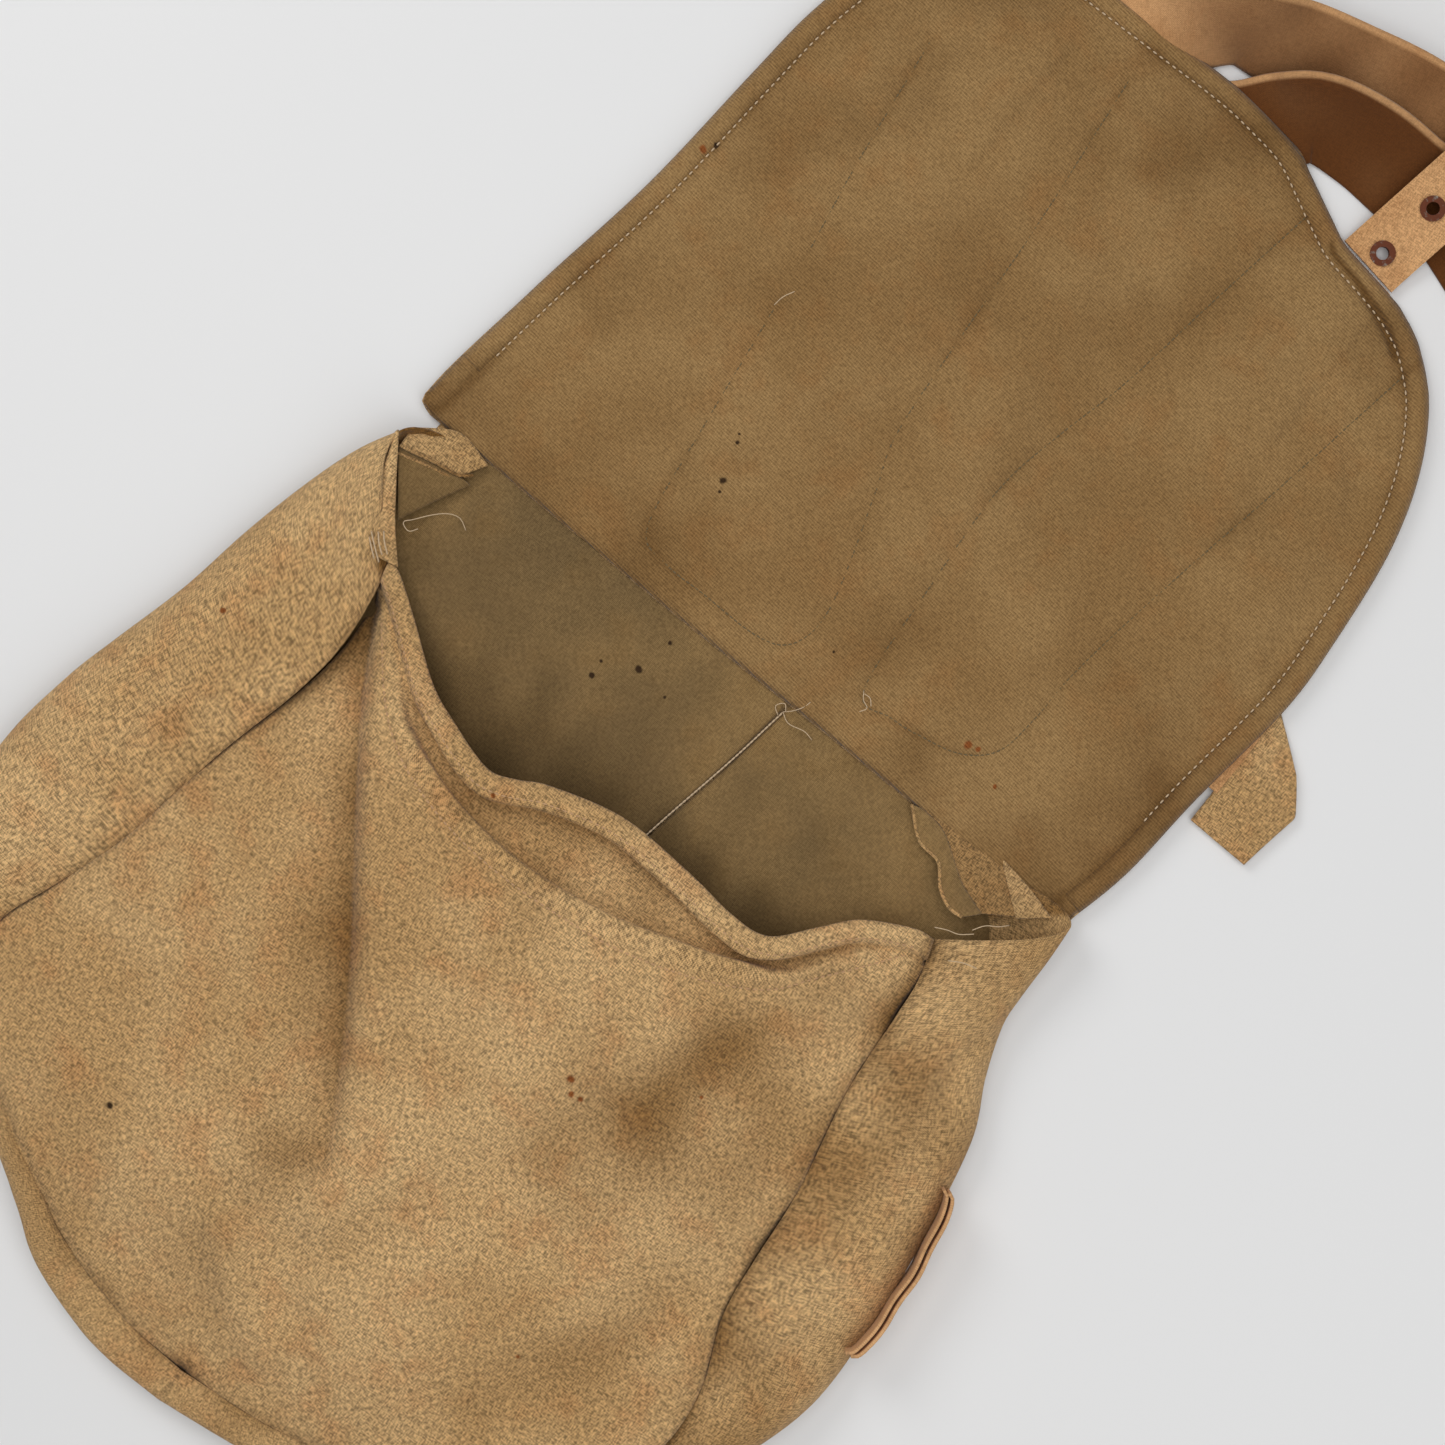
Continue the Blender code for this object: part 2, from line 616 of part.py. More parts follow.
def buckle(holder):
    """Tongue buckle on the long strap's end: chape, frame, prong and a sliding keeper."""
    heading = BUCKLE_HEADING
    place = strap_frame(BUCKLE_BAR, heading)
    wire = BUCKLE_WIRE / 2
    wrap = wire + GAP + WEBBING / 2
    bar = place(CHAPE_LENGTH, 0, RETURN_LOW + 1.5 * WEBBING + GAP + wrap)
    inside = TAIL_WIDTH + BUCKLE_PLAY
    outside = inside + 2 * BUCKLE_WIRE
    turn = Matrix.Rotation(heading, 4, "Z")

    # Chape: webbing lapped on the strap's end and folded round the bar, slotted for the prong
    doubled = WEBBING + 4 * GAP - wrap
    profile = [(-CHAPE_LENGTH - CHAPE_LAP, -wrap), (-0.004, -wrap)]
    profile += [(wrap * sin(pi * n / 8), -wrap * cos(pi * n / 8)) for n in range(9)]
    profile += [(-0.004, wrap), (-0.010, doubled + 2 * GAP), (-CHAPE_LENGTH + 0.006, doubled)]
    chape = folded_strip("buckle_chape", profile, TAIL_WIDTH, WEBBING)
    chape.data.transform(Matrix.Translation(bar) @ turn)
    hang(chape, holder)
    slot = box("prong_slot_cutter", (-0.006, -BUCKLE_FINGER / 2 - 0.001, -0.004),
               (0.012, BUCKLE_FINGER / 2 + 0.001, 0.012))
    slot.data.transform(Matrix.Translation(bar) @ turn)
    slot.hide_render = True
    slot.display_type = "WIRE"
    hang(slot, holder)
    cut = chape.modifiers.new("prong_slot", "BOOLEAN")
    cut.operation = "DIFFERENCE"
    cut.solver = "EXACT"
    cut.object = slot

    room = GAP + 0.0003
    low = -wrap - WEBBING / 2 - room
    high = doubled + WEBBING / 2 + WEBBING + room
    keeper = square_loop("strap_keeper", TAIL_WIDTH / 2 + 0.001, low, high, KEEPER_TAPE, DRILL)
    keeper.data.transform(Matrix.Translation(bar) @ turn @ Matrix.Translation((-KEEPER_AT, 0, 0)))
    hang(keeper, pivot("keeper_slide", bar, holder))

    swivel = pivot("buckle_swivel", bar, holder)
    frame = rounded_ring("buckle_frame", BUCKLE_LENGTH, outside / 2, wire)
    frame.data.transform(Matrix.Translation(bar) @ turn)
    hang(frame, swivel)

    ring = wire + GAP
    sheet = 0.0014
    tip = BUCKLE_LENGTH + wire
    rest = wire + GAP
    loop = [(-(ring) * sin(pi * n / 8), -(ring) * cos(pi * n / 8)) for n in range(9)]
    outer = [(-(ring + sheet) * sin(pi * n / 8), -(ring + sheet) * cos(pi * n / 8)) for n in range(9)]
    profile = loop + [(0.006, ring), (tip, rest), (tip, rest + sheet), (0.006, ring + sheet)]
    profile += outer[::-1] + [(0.002, -(ring + sheet)), (0.002, -ring)]
    prong = upright("buckle_prong", profile, BUCKLE_FINGER, rusty_steel())
    prong.data.transform(Matrix.Translation(bar) @ turn)
    hang(prong, swivel)


def upright(name, profile, width, material):
    """A piece cut from sheet on edge: a profile in X and Z, width along Y about the middle."""
    bm = bmesh.new()
    ring = [bm.verts.new((x, -width / 2, z)) for x, z in profile]
    base = bm.faces.new(ring)
    raised = bmesh.ops.extrude_face_region(bm, geom=[base])["geom"]
    lifted = [item for item in raised if isinstance(item, bmesh.types.BMVert)]
    bmesh.ops.translate(bm, verts=lifted, vec=(0, width, 0))
    return add(name, bm, material)


def folded_strip(name, line, width, thick):
    """A strip of webbing whose edge follows a line in X and Z."""
    left, right = [], []
    for index, here in enumerate(line):
        before = Vector(line[max(index - 1, 0)])
        after = Vector(line[min(index + 1, len(line) - 1)])
        along = (after - before).normalized()
        normal = Vector((-along.y, along.x)) * thick / 2
        left.append(Vector(here) + normal)
        right.append(Vector(here) - normal)
    return upright(name, left + right[::-1], width, webbing())


def box(name, low, high):
    bm = bmesh.new()
    bmesh.ops.create_cube(bm, size=1.0)
    size = Vector(high) - Vector(low)
    middle = (Vector(high) + Vector(low)) / 2
    bmesh.ops.transform(bm, matrix=Matrix.Translation(middle) @ Matrix.Diagonal((*size, 1)),
                        verts=bm.verts)
    return add(name, bm, rusty_steel())


def square_loop(name, half_width, low, high, length, thick):
    """A flat loop round the strap: an opening in Y and Z, its tape running along X."""
    bm = bmesh.new()
    rings = []
    for x in (-length / 2, length / 2):
        for grow in (0.0, thick):
            rings.append([bm.verts.new((x, y * (half_width + grow), z)) for y, z in
                          ((-1, low - grow), (1, low - grow), (1, high + grow), (-1, high + grow))])
    inner_front, outer_front, inner_back, outer_back = rings
    for one, two in ((inner_front, outer_front), (outer_front, outer_back),
                     (outer_back, inner_back), (inner_back, inner_front)):
        for n in range(4):
            m = (n + 1) % 4
            bm.faces.new((one[n], one[m], two[m], two[n]))
    return add(name, bm, webbing())


def rounded_ring(name, length, half_width, wire):
    """A rectangular wire ring with rounded corners, its bar on the Y axis."""
    route = rounded([(0, -half_width + wire, BUCKLE_CORNER), (length, -half_width + wire, BUCKLE_CORNER),
                     (length, half_width - wire, BUCKLE_CORNER), (0, half_width - wire, BUCKLE_CORNER)],
                    radians(30))
    bm = bmesh.new()
    sides = 8
    rings = []
    for index, point in enumerate(route):
        before, after = route[index - 1], route[(index + 1) % len(route)]
        along = (after - before).normalized()
        across = Vector((along.y, -along.x, 0))
        centre = Vector((point.x, point.y, 0))
        rings.append([bm.verts.new(centre + across * wire * cos(2 * pi * n / sides)
                                   + Vector((0, 0, wire * sin(2 * pi * n / sides))))
                      for n in range(sides)])
    for index, ring in enumerate(rings):
        following = rings[(index + 1) % len(rings)]
        for n in range(sides):
            m = (n + 1) % sides
            bm.faces.new((ring[n], ring[m], following[m], following[n]))
    return add(name, bm, rusty_steel(), smooth=True)


def side_tab(holder):
    """A closing tab sewn under the flap's right edge; the free part folds about that edge."""
    edge_x = MOUTH_WIDTH / 2 + FLAP_BULGE + 0.010
    place = strap_frame((edge_x, TAB_Y), 0.0)
    half = TAB_WIDTH / 2
    sewn = [place(-TAB_SEWN, -half), place(-FOLD_GAP, -half), place(-FOLD_GAP, half),
            place(-TAB_SEWN, half)]
    hang(plate("side_tab_sewn_end", sewn, PATCH_LOW - WEBBING - GAP, WEBBING, webbing()), holder)
    fold = pivot("side_tab_fold", (edge_x, TAB_Y, PATCH_LOW - GAP - WEBBING / 2), holder)
    skew = TAB_FREE * tan(TAB_TILT) / 2
    free = [place(GAP, -half), place(TAB_FREE, -half + skew * 0.2), place(TAB_FREE, half + 2 * skew),
            place(TAB_FREE * 0.72, half + skew), place(GAP, half)]
    hang(plate("side_tab", free, PATCH_LOW - WEBBING - GAP, WEBBING, webbing()), fold)


def settle(root):
    """Moves the whole model so that the origin is under the middle of its box."""
    bpy.context.view_layer.update()
    graph = bpy.context.evaluated_depsgraph_get()
    corners = []
    for thing in bpy.data.objects:
        if thing.type == "MESH" and not thing.hide_render:
            shaped = thing.evaluated_get(graph)
            corners += [shaped.matrix_world @ vert.co for vert in shaped.data.vertices]
    low = Vector(min(corner[axis] for corner in corners) for axis in range(3))
    high = Vector(max(corner[axis] for corner in corners) for axis in range(3))
    root.location -= Vector(((low.x + high.x) / 2, (low.y + high.y) / 2, low.z))


def main():
    clear_scene()
    root = pivot("sack", (0, 0, 0), None)
    sack_body(root)
    side_loop(root)
    holder = flap(root)
    long_strap(holder)
    tail_strap(holder)
    buckle(holder)
    side_tab(holder)
    settle(root)


main()
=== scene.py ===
"""Looks of a canvas mail sack that lies on its back with the flap folded open.

The sections follow the sack as it is sewn together: back, linings, front, gussets, flap, straps, buckle.
"""

import json
from math import atan2, cos, hypot, pi, radians, sin

import bmesh
import bpy
import numpy as np
from mathutils import Matrix, Vector


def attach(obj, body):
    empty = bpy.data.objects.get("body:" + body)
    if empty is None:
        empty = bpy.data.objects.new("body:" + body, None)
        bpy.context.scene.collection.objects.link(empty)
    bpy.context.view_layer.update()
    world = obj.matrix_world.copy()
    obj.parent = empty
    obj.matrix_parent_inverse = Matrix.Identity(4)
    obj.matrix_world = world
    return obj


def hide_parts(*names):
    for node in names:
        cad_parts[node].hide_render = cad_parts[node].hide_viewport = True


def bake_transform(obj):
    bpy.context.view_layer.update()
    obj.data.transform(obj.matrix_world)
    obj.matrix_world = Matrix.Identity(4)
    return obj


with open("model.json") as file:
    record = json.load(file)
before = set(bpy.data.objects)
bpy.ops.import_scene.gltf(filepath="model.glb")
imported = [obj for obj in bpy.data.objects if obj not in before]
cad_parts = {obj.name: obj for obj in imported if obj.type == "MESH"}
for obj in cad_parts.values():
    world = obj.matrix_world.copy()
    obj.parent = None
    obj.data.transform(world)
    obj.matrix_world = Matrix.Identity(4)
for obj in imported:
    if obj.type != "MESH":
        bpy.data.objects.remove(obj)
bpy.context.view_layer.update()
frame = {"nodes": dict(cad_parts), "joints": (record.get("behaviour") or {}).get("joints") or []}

# Drawing frame
# The sack is drawn in millimetres from the middle of its fold line, on the floor, with +Y towards the
# flap's free end. The frame's own hinge says where that is.

FOLD_HEIGHT = 5.0
fold_joint = next(joint for joint in frame["joints"] if joint["name"] == "flap_fold")
FOLD = Vector(fold_joint["pos_m"]) - Vector((0, 0, FOLD_HEIGHT / 1000))


def at(x, y, z=0.0):
    return FOLD + Vector((x, y, z)) / 1000


# Camera, floor and light
# The sack is seen from straight above, turned on the floor, with a broad soft lamp overhead and one
# beyond each side.

VIEW_WIDTH = 751.0
VIEW_HEIGHT = 1500.0
VIEW_TURN = radians(38.8)
VIEW_MIDDLE = (7.8, -33.2)
VIEW_CLEARANCE = 20.0
SENSOR = 36.0
WORLD_STRENGTH = 0.25
PALE = (0.80, 0.80, 0.80, 1)

camera_data = bpy.data.cameras.new("camera")
camera_data.sensor_width = SENSOR
camera_data.lens = SENSOR * VIEW_HEIGHT / VIEW_WIDTH
camera = bpy.data.objects.new("camera", camera_data)
camera.location = at(*VIEW_MIDDLE, VIEW_HEIGHT + VIEW_CLEARANCE)
camera.rotation_euler = (0, 0, VIEW_TURN)
bpy.context.scene.collection.objects.link(camera)
bpy.context.scene.camera = camera


def lamp(name, place, aim, size, watts):
    data = bpy.data.lights.new(name, "AREA")
    data.shape = "DISK"
    data.size = size
    data.energy = watts
    light = bpy.data.objects.new(name, data)
    light.location = place
    light.rotation_euler = (aim - place).to_track_quat("-Z", "Y").to_euler()
    bpy.context.scene.collection.objects.link(light)


lamp("key", at(-1500, 300, 1350), at(0, 0), 1.1, 13)
lamp("overhead", at(150, 100, 2300), at(0, 0), 2.6, 25)
lamp("fill", at(1500, -600, 1400), at(0, 0), 2.0, 11)

world = bpy.data.worlds.new("studio")
bpy.context.scene.world = world
world.use_nodes = True
world.node_tree.nodes["Background"].inputs["Color"].default_value = (1, 1, 1, 1)
world.node_tree.nodes["Background"].inputs["Strength"].default_value = WORLD_STRENGTH
bpy.context.scene.view_settings.view_transform = "Standard"


class Field:
    """A shader value that adds and multiplies like a number."""

    def __init__(self, finish, socket):
        self.finish = finish
        self.socket = socket

    def math(self, operation, *values):
        return self.finish.node("ShaderNodeMath", {"operation": operation}, dict(enumerate(values)))

    def __add__(self, other):
        return self.math("ADD", self, other)

    def __sub__(self, other):
        return self.math("SUBTRACT", self, other)

    def __rsub__(self, other):
        return self.math("SUBTRACT", other, self)

    def __mul__(self, other):
        return self.math("MULTIPLY", self, other)

    def sine(self):
        return self.math("SINE", self)

    def ramp(self, low, high, out_low=0.0, out_high=1.0):
        settings = {"interpolation_type": "SMOOTHSTEP"}
        values = {"Value": self, "From Min": low, "From Max": high, "To Min": out_low, "To Max": out_high}
        return self.finish.node("ShaderNodeMapRange", settings, values, "Result")

    __radd__ = __add__
    __rmul__ = __mul__


class Finish:
    """A material whose nodes are made one at a time."""

    def __init__(self, name, roughness, **constants):
        self.material = bpy.data.materials.new(name)
        self.material.use_nodes = True
        self.tree = self.material.node_tree
        self.shader = self.tree.nodes["Principled BSDF"]
        self.shader.inputs["Roughness"].default_value = roughness
        for socket, value in constants.items():
            self.shader.inputs[socket.replace("_", " ")].default_value = value

    def node(self, kind, settings, values, output=0):
        """One node of a type, with its settings, then its sockets, and one of its outputs."""
        made = self.tree.nodes.new(kind)
        for key, value in settings.items():
            setattr(made, key, value)
        for key, value in values.items():
            if isinstance(value, Field):
                self.tree.links.new(value.socket, made.inputs[key])
            else:
                made.inputs[key].default_value = value
        return Field(self, made.outputs[output])

    def place(self, kind="Object"):
        return self.node("ShaderNodeTexCoord", {}, {}, kind)

    def attribute(self, name):
        return self.node("ShaderNodeAttribute", {"attribute_name": name}, {}, "Fac")

    def parts(self, vector):
        made = self.node("ShaderNodeSeparateXYZ", {}, {"Vector": vector})
        return [Field(self, socket) for socket in made.socket.node.outputs]

    def noise(self, vector, scale, detail=3.0, roughness=0.6):
        values = {"Vector": vector, "Scale": scale, "Detail": detail, "Roughness": roughness}
        return self.node("ShaderNodeTexNoise", {}, values, "Fac")

    def stretched(self, vector, scale):
        return self.node("ShaderNodeVectorMath", {"operation": "MULTIPLY"}, {0: vector, 1: scale})

    def mix(self, share, low, high):
        """A colour between low and high; share may be a number or a field."""
        return self.node("ShaderNodeMix", {"data_type": "RGBA"}, {0: share, 6: low, 7: high}, 2)

    def colour(self, value):
        self.tree.links.new(value.socket, self.shader.inputs["Base Color"])

    def feed(self, socket, value):
        self.tree.links.new(value.socket, self.shader.inputs[socket])

    def bump(self, height, distance, strength=1.0):
        values = {"Height": height, "Distance": distance, "Strength": strength}
        self.feed("Normal", self.node("ShaderNodeBump", {}, values))


def tint(red, green, blue):
    """A colour from its 0 to 255 screen values."""
    return tuple((value / 255) ** 2.2 for value in (red, green, blue)) + (1,)


floor_bm = bmesh.new()
bmesh.ops.create_grid(floor_bm, x_segments=1, y_segments=1, size=6.0)
floor_mesh = bpy.data.meshes.new("floor")
floor_bm.to_mesh(floor_mesh)
floor = bpy.data.objects.new("floor", floor_mesh)
bpy.context.scene.collection.objects.link(floor)
floor_finish = Finish("pale_floor", 0.9)
floor_finish.shader.inputs["Base Color"].default_value = PALE
floor_mesh.materials.append(floor_finish.material)


# Back of the sack
# One sheet of plain-weave cotton canvas lies on the floor. The gussets are sewn to its edge, and its top
# runs on under the flap.

CANVAS_WALL = 1.2
WEAVE_PITCH = 0.98
CANVAS_PALE = tint(208, 171, 122)
CANVAS_TAN = tint(188, 150, 102)
# The darkest canvas colour, used for painted shade in folds and hollows as well as for real soil.
CANVAS_SOIL_AND_SHADE = tint(124, 88, 46)
CANVAS_ORANGE = tint(184, 124, 76)
LEFT_BACK = [(-205, 10), (-212, -60), (-226, -161), (-236, -236), (-240, -285), (-232, -330), (-205, -376),
             (-160, -412), (-110, -438), (-60, -452), (0, -456)]
RIGHT_BACK = [(205, 10), (204, -50), (210, -100), (222, -150), (233, -205), (238, -260), (232, -312),
              (206, -362), (160, -406), (110, -436), (60, -450), (0, -456)]


def mix(low, high, share):
    return low + (high - low) * share


def soft(low, high, value):
    """A smooth step from 0 at low to 1 at high."""
    share = np.clip((value - low) / (high - low), 0, 1)
    return share * share * (3 - 2 * share)


def curve(points, count):
    """The points of a smooth curve through a few places, evenly spaced."""
    line = np.array(points, float)
    ends = np.vstack([2 * line[0] - line[1], line, 2 * line[-1] - line[-2]])
    share = np.linspace(0, 1, 13)[:-1, None]
    dense = [0.5 * (2 * q + (r - p) * share + (2 * p - 5 * q + 4 * r - s) * share ** 2
                    + (3 * q - p - 3 * r + s) * share ** 3)
             for p, q, r, s in zip(ends, ends[1:], ends[2:], ends[3:])]
    dense = np.vstack(dense + [line[-1:]])
    steps = np.hypot(*np.diff(dense[:, :2], axis=0).T)
    along = np.concatenate([[0], np.cumsum(steps)])
    where = np.linspace(0, along[-1], count)
    return np.column_stack([np.interp(where, along, column) for column in dense.T])


def read(line, share):
    """Points of an evenly spaced curve at shares from 0 to 1."""
    where = np.clip(share, 0, 1) * (len(line) - 1)
    index = np.arange(len(line))
    return np.stack([np.interp(where, index, column) for column in line.T], -1)


def beside(x, y, points, count=60):
    """Signed distance to a curve, positive on its left, and the distance along it."""
    line = curve(points, count)
    best = np.full(np.shape(x), 1e9)
    side = np.zeros(np.shape(x))
    along = np.zeros(np.shape(x))
    passed = 0.0
    for (ax, ay), (bx, by) in zip(line[:-1, :2], line[1:, :2]):
        dx, dy = bx - ax, by - ay
        length = hypot(dx, dy)
        share = np.clip(((x - ax) * dx + (y - ay) * dy) / length ** 2, 0, 1)
        gap = np.hypot(x - ax - share * dx, y - ay - share * dy)
        nearer = gap < best
        best = np.where(nearer, gap, best)
        side = np.where(nearer, np.sign(dx * (y - ay) - dy * (x - ax)), side)
        along = np.where(nearer, passed + share * length, along)
        passed += length
    return best * side, along, passed


def crease(x, y, points, high, left, right, fade=25.0, sharp=2.0):
    """A fold of the cloth along a curve: high at its line, with its own width on each side."""
    gap, along, length = beside(x, y, points)
    ends = soft(0, fade, along) * soft(0, fade, length - along)
    width = np.where(gap > 0, left, right)
    return high * ends * np.exp(-(np.abs(gap) / width) ** sharp)


def ripple(x, y, seed, size):
    """Slow, smooth unevenness of handled cloth, between -1 and 1."""
    source = np.random.default_rng(seed)
    total = np.zeros(np.shape(x))
    for _ in range(9):
        turn = source.uniform(0, 2 * pi)
        wave = source.uniform(0.6, 1.8) / size
        total += np.sin((x * cos(turn) + y * sin(turn)) * 2 * pi * wave + source.uniform(0, 2 * pi))
    return total / 5


def cloth(name, columns, rows, place, wall, finish, marks=None, marks_on="place"):
    """A sheet: place turns shares across and along it into x, y, z, u, v; wall is its thickness below."""
    bm = bmesh.new()
    bmesh.ops.create_grid(bm, x_segments=columns, y_segments=rows, size=0.5)
    shares = np.array([vertex.co[:2] for vertex in bm.verts]) + 0.5
    x, y, z, u, v = (np.broadcast_to(part, len(shares)) for part in place(shares[:, 0], shares[:, 1]))
    weave = bm.loops.layers.uv.new("weave")
    soil_and_shade = bm.verts.layers.float.new("soil_and_shade")
    spread = (x, y) if marks_on == "place" else shares.T
    # marks gives each vertex a share of darkening towards the darkest colour: painted shade in folds, hollows
    # and shaded faces, with some real soil.
    shade_and_soil = marks(*spread) if marks else np.zeros(len(x))
    for index, vertex in enumerate(bm.verts):
        vertex.co = at(x[index], y[index], z[index])
        vertex[soil_and_shade] = shade_and_soil[index]
        vertex.index = index
    for face in bm.faces:
        face.smooth = True
        for loop in face.loops:
            loop[weave].uv = (u[loop.vert.index] / 1000, v[loop.vert.index] / 1000)
    bm.normal_update()
    mesh = bpy.data.meshes.new(name)
    bm.to_mesh(mesh)
    bm.free()
    sheet = bpy.data.objects.new(name, mesh)
    bpy.context.scene.collection.objects.link(sheet)
    mesh.materials.append(finish.material)
    if wall:
        thick = sheet.modifiers.new("wall", "SOLIDIFY")
        thick.thickness = wall / 1000
        thick.offset = -1
    return sheet


def patch(low, high, left, right):
    """A sheet's plan between four curves; left and right run from low to high."""
    def place(a, b):
        across = read(low, a) * (1 - b)[:, None] + read(high, a) * b[:, None]
        along = read(left, b) * (1 - a)[:, None] + read(right, b) * a[:, None]
        corners = ((1 - a) * (1 - b))[:, None] * low[0] + (a * (1 - b))[:, None] * low[-1]
        corners = corners + ((1 - a) * b)[:, None] * high[0] + (a * b)[:, None] * high[-1]
        return (across + along - corners)[:, :2].T
    return place


def canvas(name, pale, tan, dirt, soil_and_shade, pitch=WEAVE_PITCH, twill=False, seed=0.0, grain=0.85, spots=(),
           threads_on="UV"):
    """Woven cotton: threads, slubs, faded patches, a few round stains, and painted shade in folds and hollows
    with some real soil, read from each sheet's per-vertex attribute.
    """
    finish = Finish(name, 0.94, Sheen_Weight=0.12, Sheen_Roughness=0.5, Specular_IOR_Level=0.15)
    uv = finish.place(threads_on)
    turn = 2 * pi / (pitch / 1000)
    u, v = finish.parts(uv)[:2]
    warp, weft = (u * turn).sine(), (v * turn).sine()
    if twill:
        lay = ((v * turn) + (u * (turn * 0.12))).sine()
        threads = lay * 0.5 + 0.5
    else:
        threads = warp * weft * 0.5 + 0.5
    along = finish.noise(finish.stretched(uv, (1500, 280, 1)), 1.0, 2.0)
    across = finish.noise(finish.stretched(uv, (300, 1450, 1)), 1.0, 2.0)
    slub = (along + across) * 0.5
    place = finish.place()
    broad = finish.noise(place, 9.0 + seed, 4.0, 0.55)
    cloud = finish.noise(place, 38.0 + seed, 3.0, 0.6)
    mottle = finish.noise(place, 150.0, 2.0, 0.7)
    specks = finish.noise(place, 620.0, 1.0, 0.5)
    shade_and_soil = finish.attribute("soil_and_shade")
    base = finish.mix(broad.ramp(0.36, 0.66), tan, pale)
    base = finish.mix(cloud.ramp(0.48, 0.72) * 0.35, base, dirt)
    # The per-vertex attribute mixes in the darkest colour: painted shade in folds and hollows, with some real
    # soil.
    base = finish.mix(shade_and_soil.ramp(0.0, 1.0), base, soil_and_shade)
    base = finish.mix(mottle.ramp(0.55, 0.75) * 0.16, base, soil_and_shade)
    for x, y, radius, colour in spots:
        gap = finish.node("ShaderNodeVectorMath", {"operation": "DISTANCE"},
                          {0: finish.stretched(place, (1, 1, 0)), 1: (*at(x, y)[:2], 0)}, "Value")
        edge = gap * (1000 / radius) + mottle * 1.6
        base = finish.mix(edge.ramp(1.75, 1.15), base, colour)
    dark = finish.node("ShaderNodeMix", {"data_type": "RGBA", "blend_type": "MULTIPLY"},
                       {0: 1.0, 6: base, 7: finish.mix(
                           slub.ramp(0.38, 0.62) * 0.55 + threads * 0.40 + specks * 0.10,
                           (1 - grain * 1.25, 1 - grain * 1.35, 1 - grain * 1.5, 1),
                           (1 + grain * 0.75, 1 + grain * 0.75, 1 + grain * 0.7, 1))}, 2)
    finish.colour(dark)
    finish.bump(threads * 0.6 + slub * 0.8 + cloud * 0.2, 0.00035, 0.8)
    return finish


RUST_STAIN = tint(134, 78, 40)
INK_STAIN = tint(58, 42, 26)
CANVAS_SPOTS = [(61, -224, 3.2, RUST_STAIN), (67, -230, 2.4, RUST_STAIN), (72, -229, 2.0, RUST_STAIN),
                (130, -353, 2.2, RUST_STAIN), (-114, -383, 2.4, INK_STAIN), (-60, -136, 1.6, RUST_STAIN),
                (120, -190, 1.4, RUST_STAIN), (-230, -150, 2.0, RUST_STAIN)]
tan_canvas = canvas("tan_canvas", CANVAS_PALE, CANVAS_TAN, CANVAS_ORANGE, CANVAS_SOIL_AND_SHADE, spots=CANVAS_SPOTS)


def between_sides(left, right, top, corner):
    """A sheet's plan inside two half-round seams and a top edge; corner is where each seam turns under."""
    count = 200
    turn = int(count * corner)
    sides = [curve(left, count), curve(right, count)]
    bottom = np.vstack([sides[0][turn:], sides[1][turn:-1][::-1]])
    return patch(curve(bottom, count), top, sides[0][turn::-1], sides[1][turn::-1])


BACK_CORNER = 0.72
BACK_LEVEL = 1.5
back_plan = between_sides(LEFT_BACK, RIGHT_BACK, curve([LEFT_BACK[0], RIGHT_BACK[0]], 50), BACK_CORNER)


def back_place(a, b):
    x, y = back_plan(a, b)
    return x, y, BACK_LEVEL + 0 * x, x, y


back = cloth("back_canvas", 60, 60, back_place, CANVAS_WALL, tan_canvas)
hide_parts("back_panel")
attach(back, "sack")

# Back lining
# Two halves of fine grey-olive drill line the back. A pale thread joins them down the middle, with its
# cut ends left loose at the top.

DRILL_WALL = 0.8
LINING_TAN = tint(146, 118, 78)
LINING_GREY = tint(120, 98, 66)
# The darkest lining colour, used for painted shade as well as for real soil.
LINING_SOIL_AND_SHADE = tint(88, 70, 44)
LINING_OCHRE = tint(124, 96, 58)
CENTRE_SEAM = [(31, 10), (24, -45), (16, -90), (8, -140), (2, -260), (0, -448)]
LINING_SPOTS = [(-44, -39, 2.6, INK_STAIN), (-40, -18, 1.8, INK_STAIN), (-62, -48, 1.6, INK_STAIN),
                (-61, -57, 1.9, INK_STAIN), (-24, -42, 1.2, INK_STAIN)]

olive_drill = canvas("olive_drill", LINING_TAN, LINING_GREY, LINING_OCHRE, LINING_SOIL_AND_SHADE, pitch=0.75,
                     twill=True, seed=1.3, grain=0.36, spots=LINING_SPOTS)
LINING_SHARES = (0.975, 0.985)
LINING_GAP = 0.35
LEFT_LINING, RIGHT_LINING = ([(x * LINING_SHARES[0], y * LINING_SHARES[1]) for x, y in side]
                             for side in (LEFT_BACK, RIGHT_BACK))
lining_plan = between_sides(LEFT_LINING, RIGHT_LINING, curve([LEFT_LINING[0], RIGHT_LINING[0]], 50),
                            BACK_CORNER)


def lining_height(x, y):
    seam = beside(x, y, CENTRE_SEAM)[0]
    rise = 4.2 + 6.5 * np.exp(-(((x + 105) / 62) ** 2 + ((y + 62) / 48) ** 2))
    rise = rise + 2.6 * np.exp(-(((x - 80) / 40) ** 2 + ((y + 48) / 34) ** 2))
    rise = rise + crease(x, y, [(-150, -2), (-120, -34), (-60, -58), (-10, -96)], -2.4, 12, 15)
    rise = rise + crease(x, y, [(-170, -30), (-140, -20), (-95, -4)], 3.0, 8, 8, 10)
    rise = rise - 1.5 * np.exp(-(seam / 1.6) ** 2) + 1.0 * np.exp(-((seam + 3.5) / 2.4) ** 2)
    rise = rise + 0.8 * ripple(x, y, 3, 60)
    return mix(3.2, rise, soft(-200, -150, y) * soft(8, -14, y))


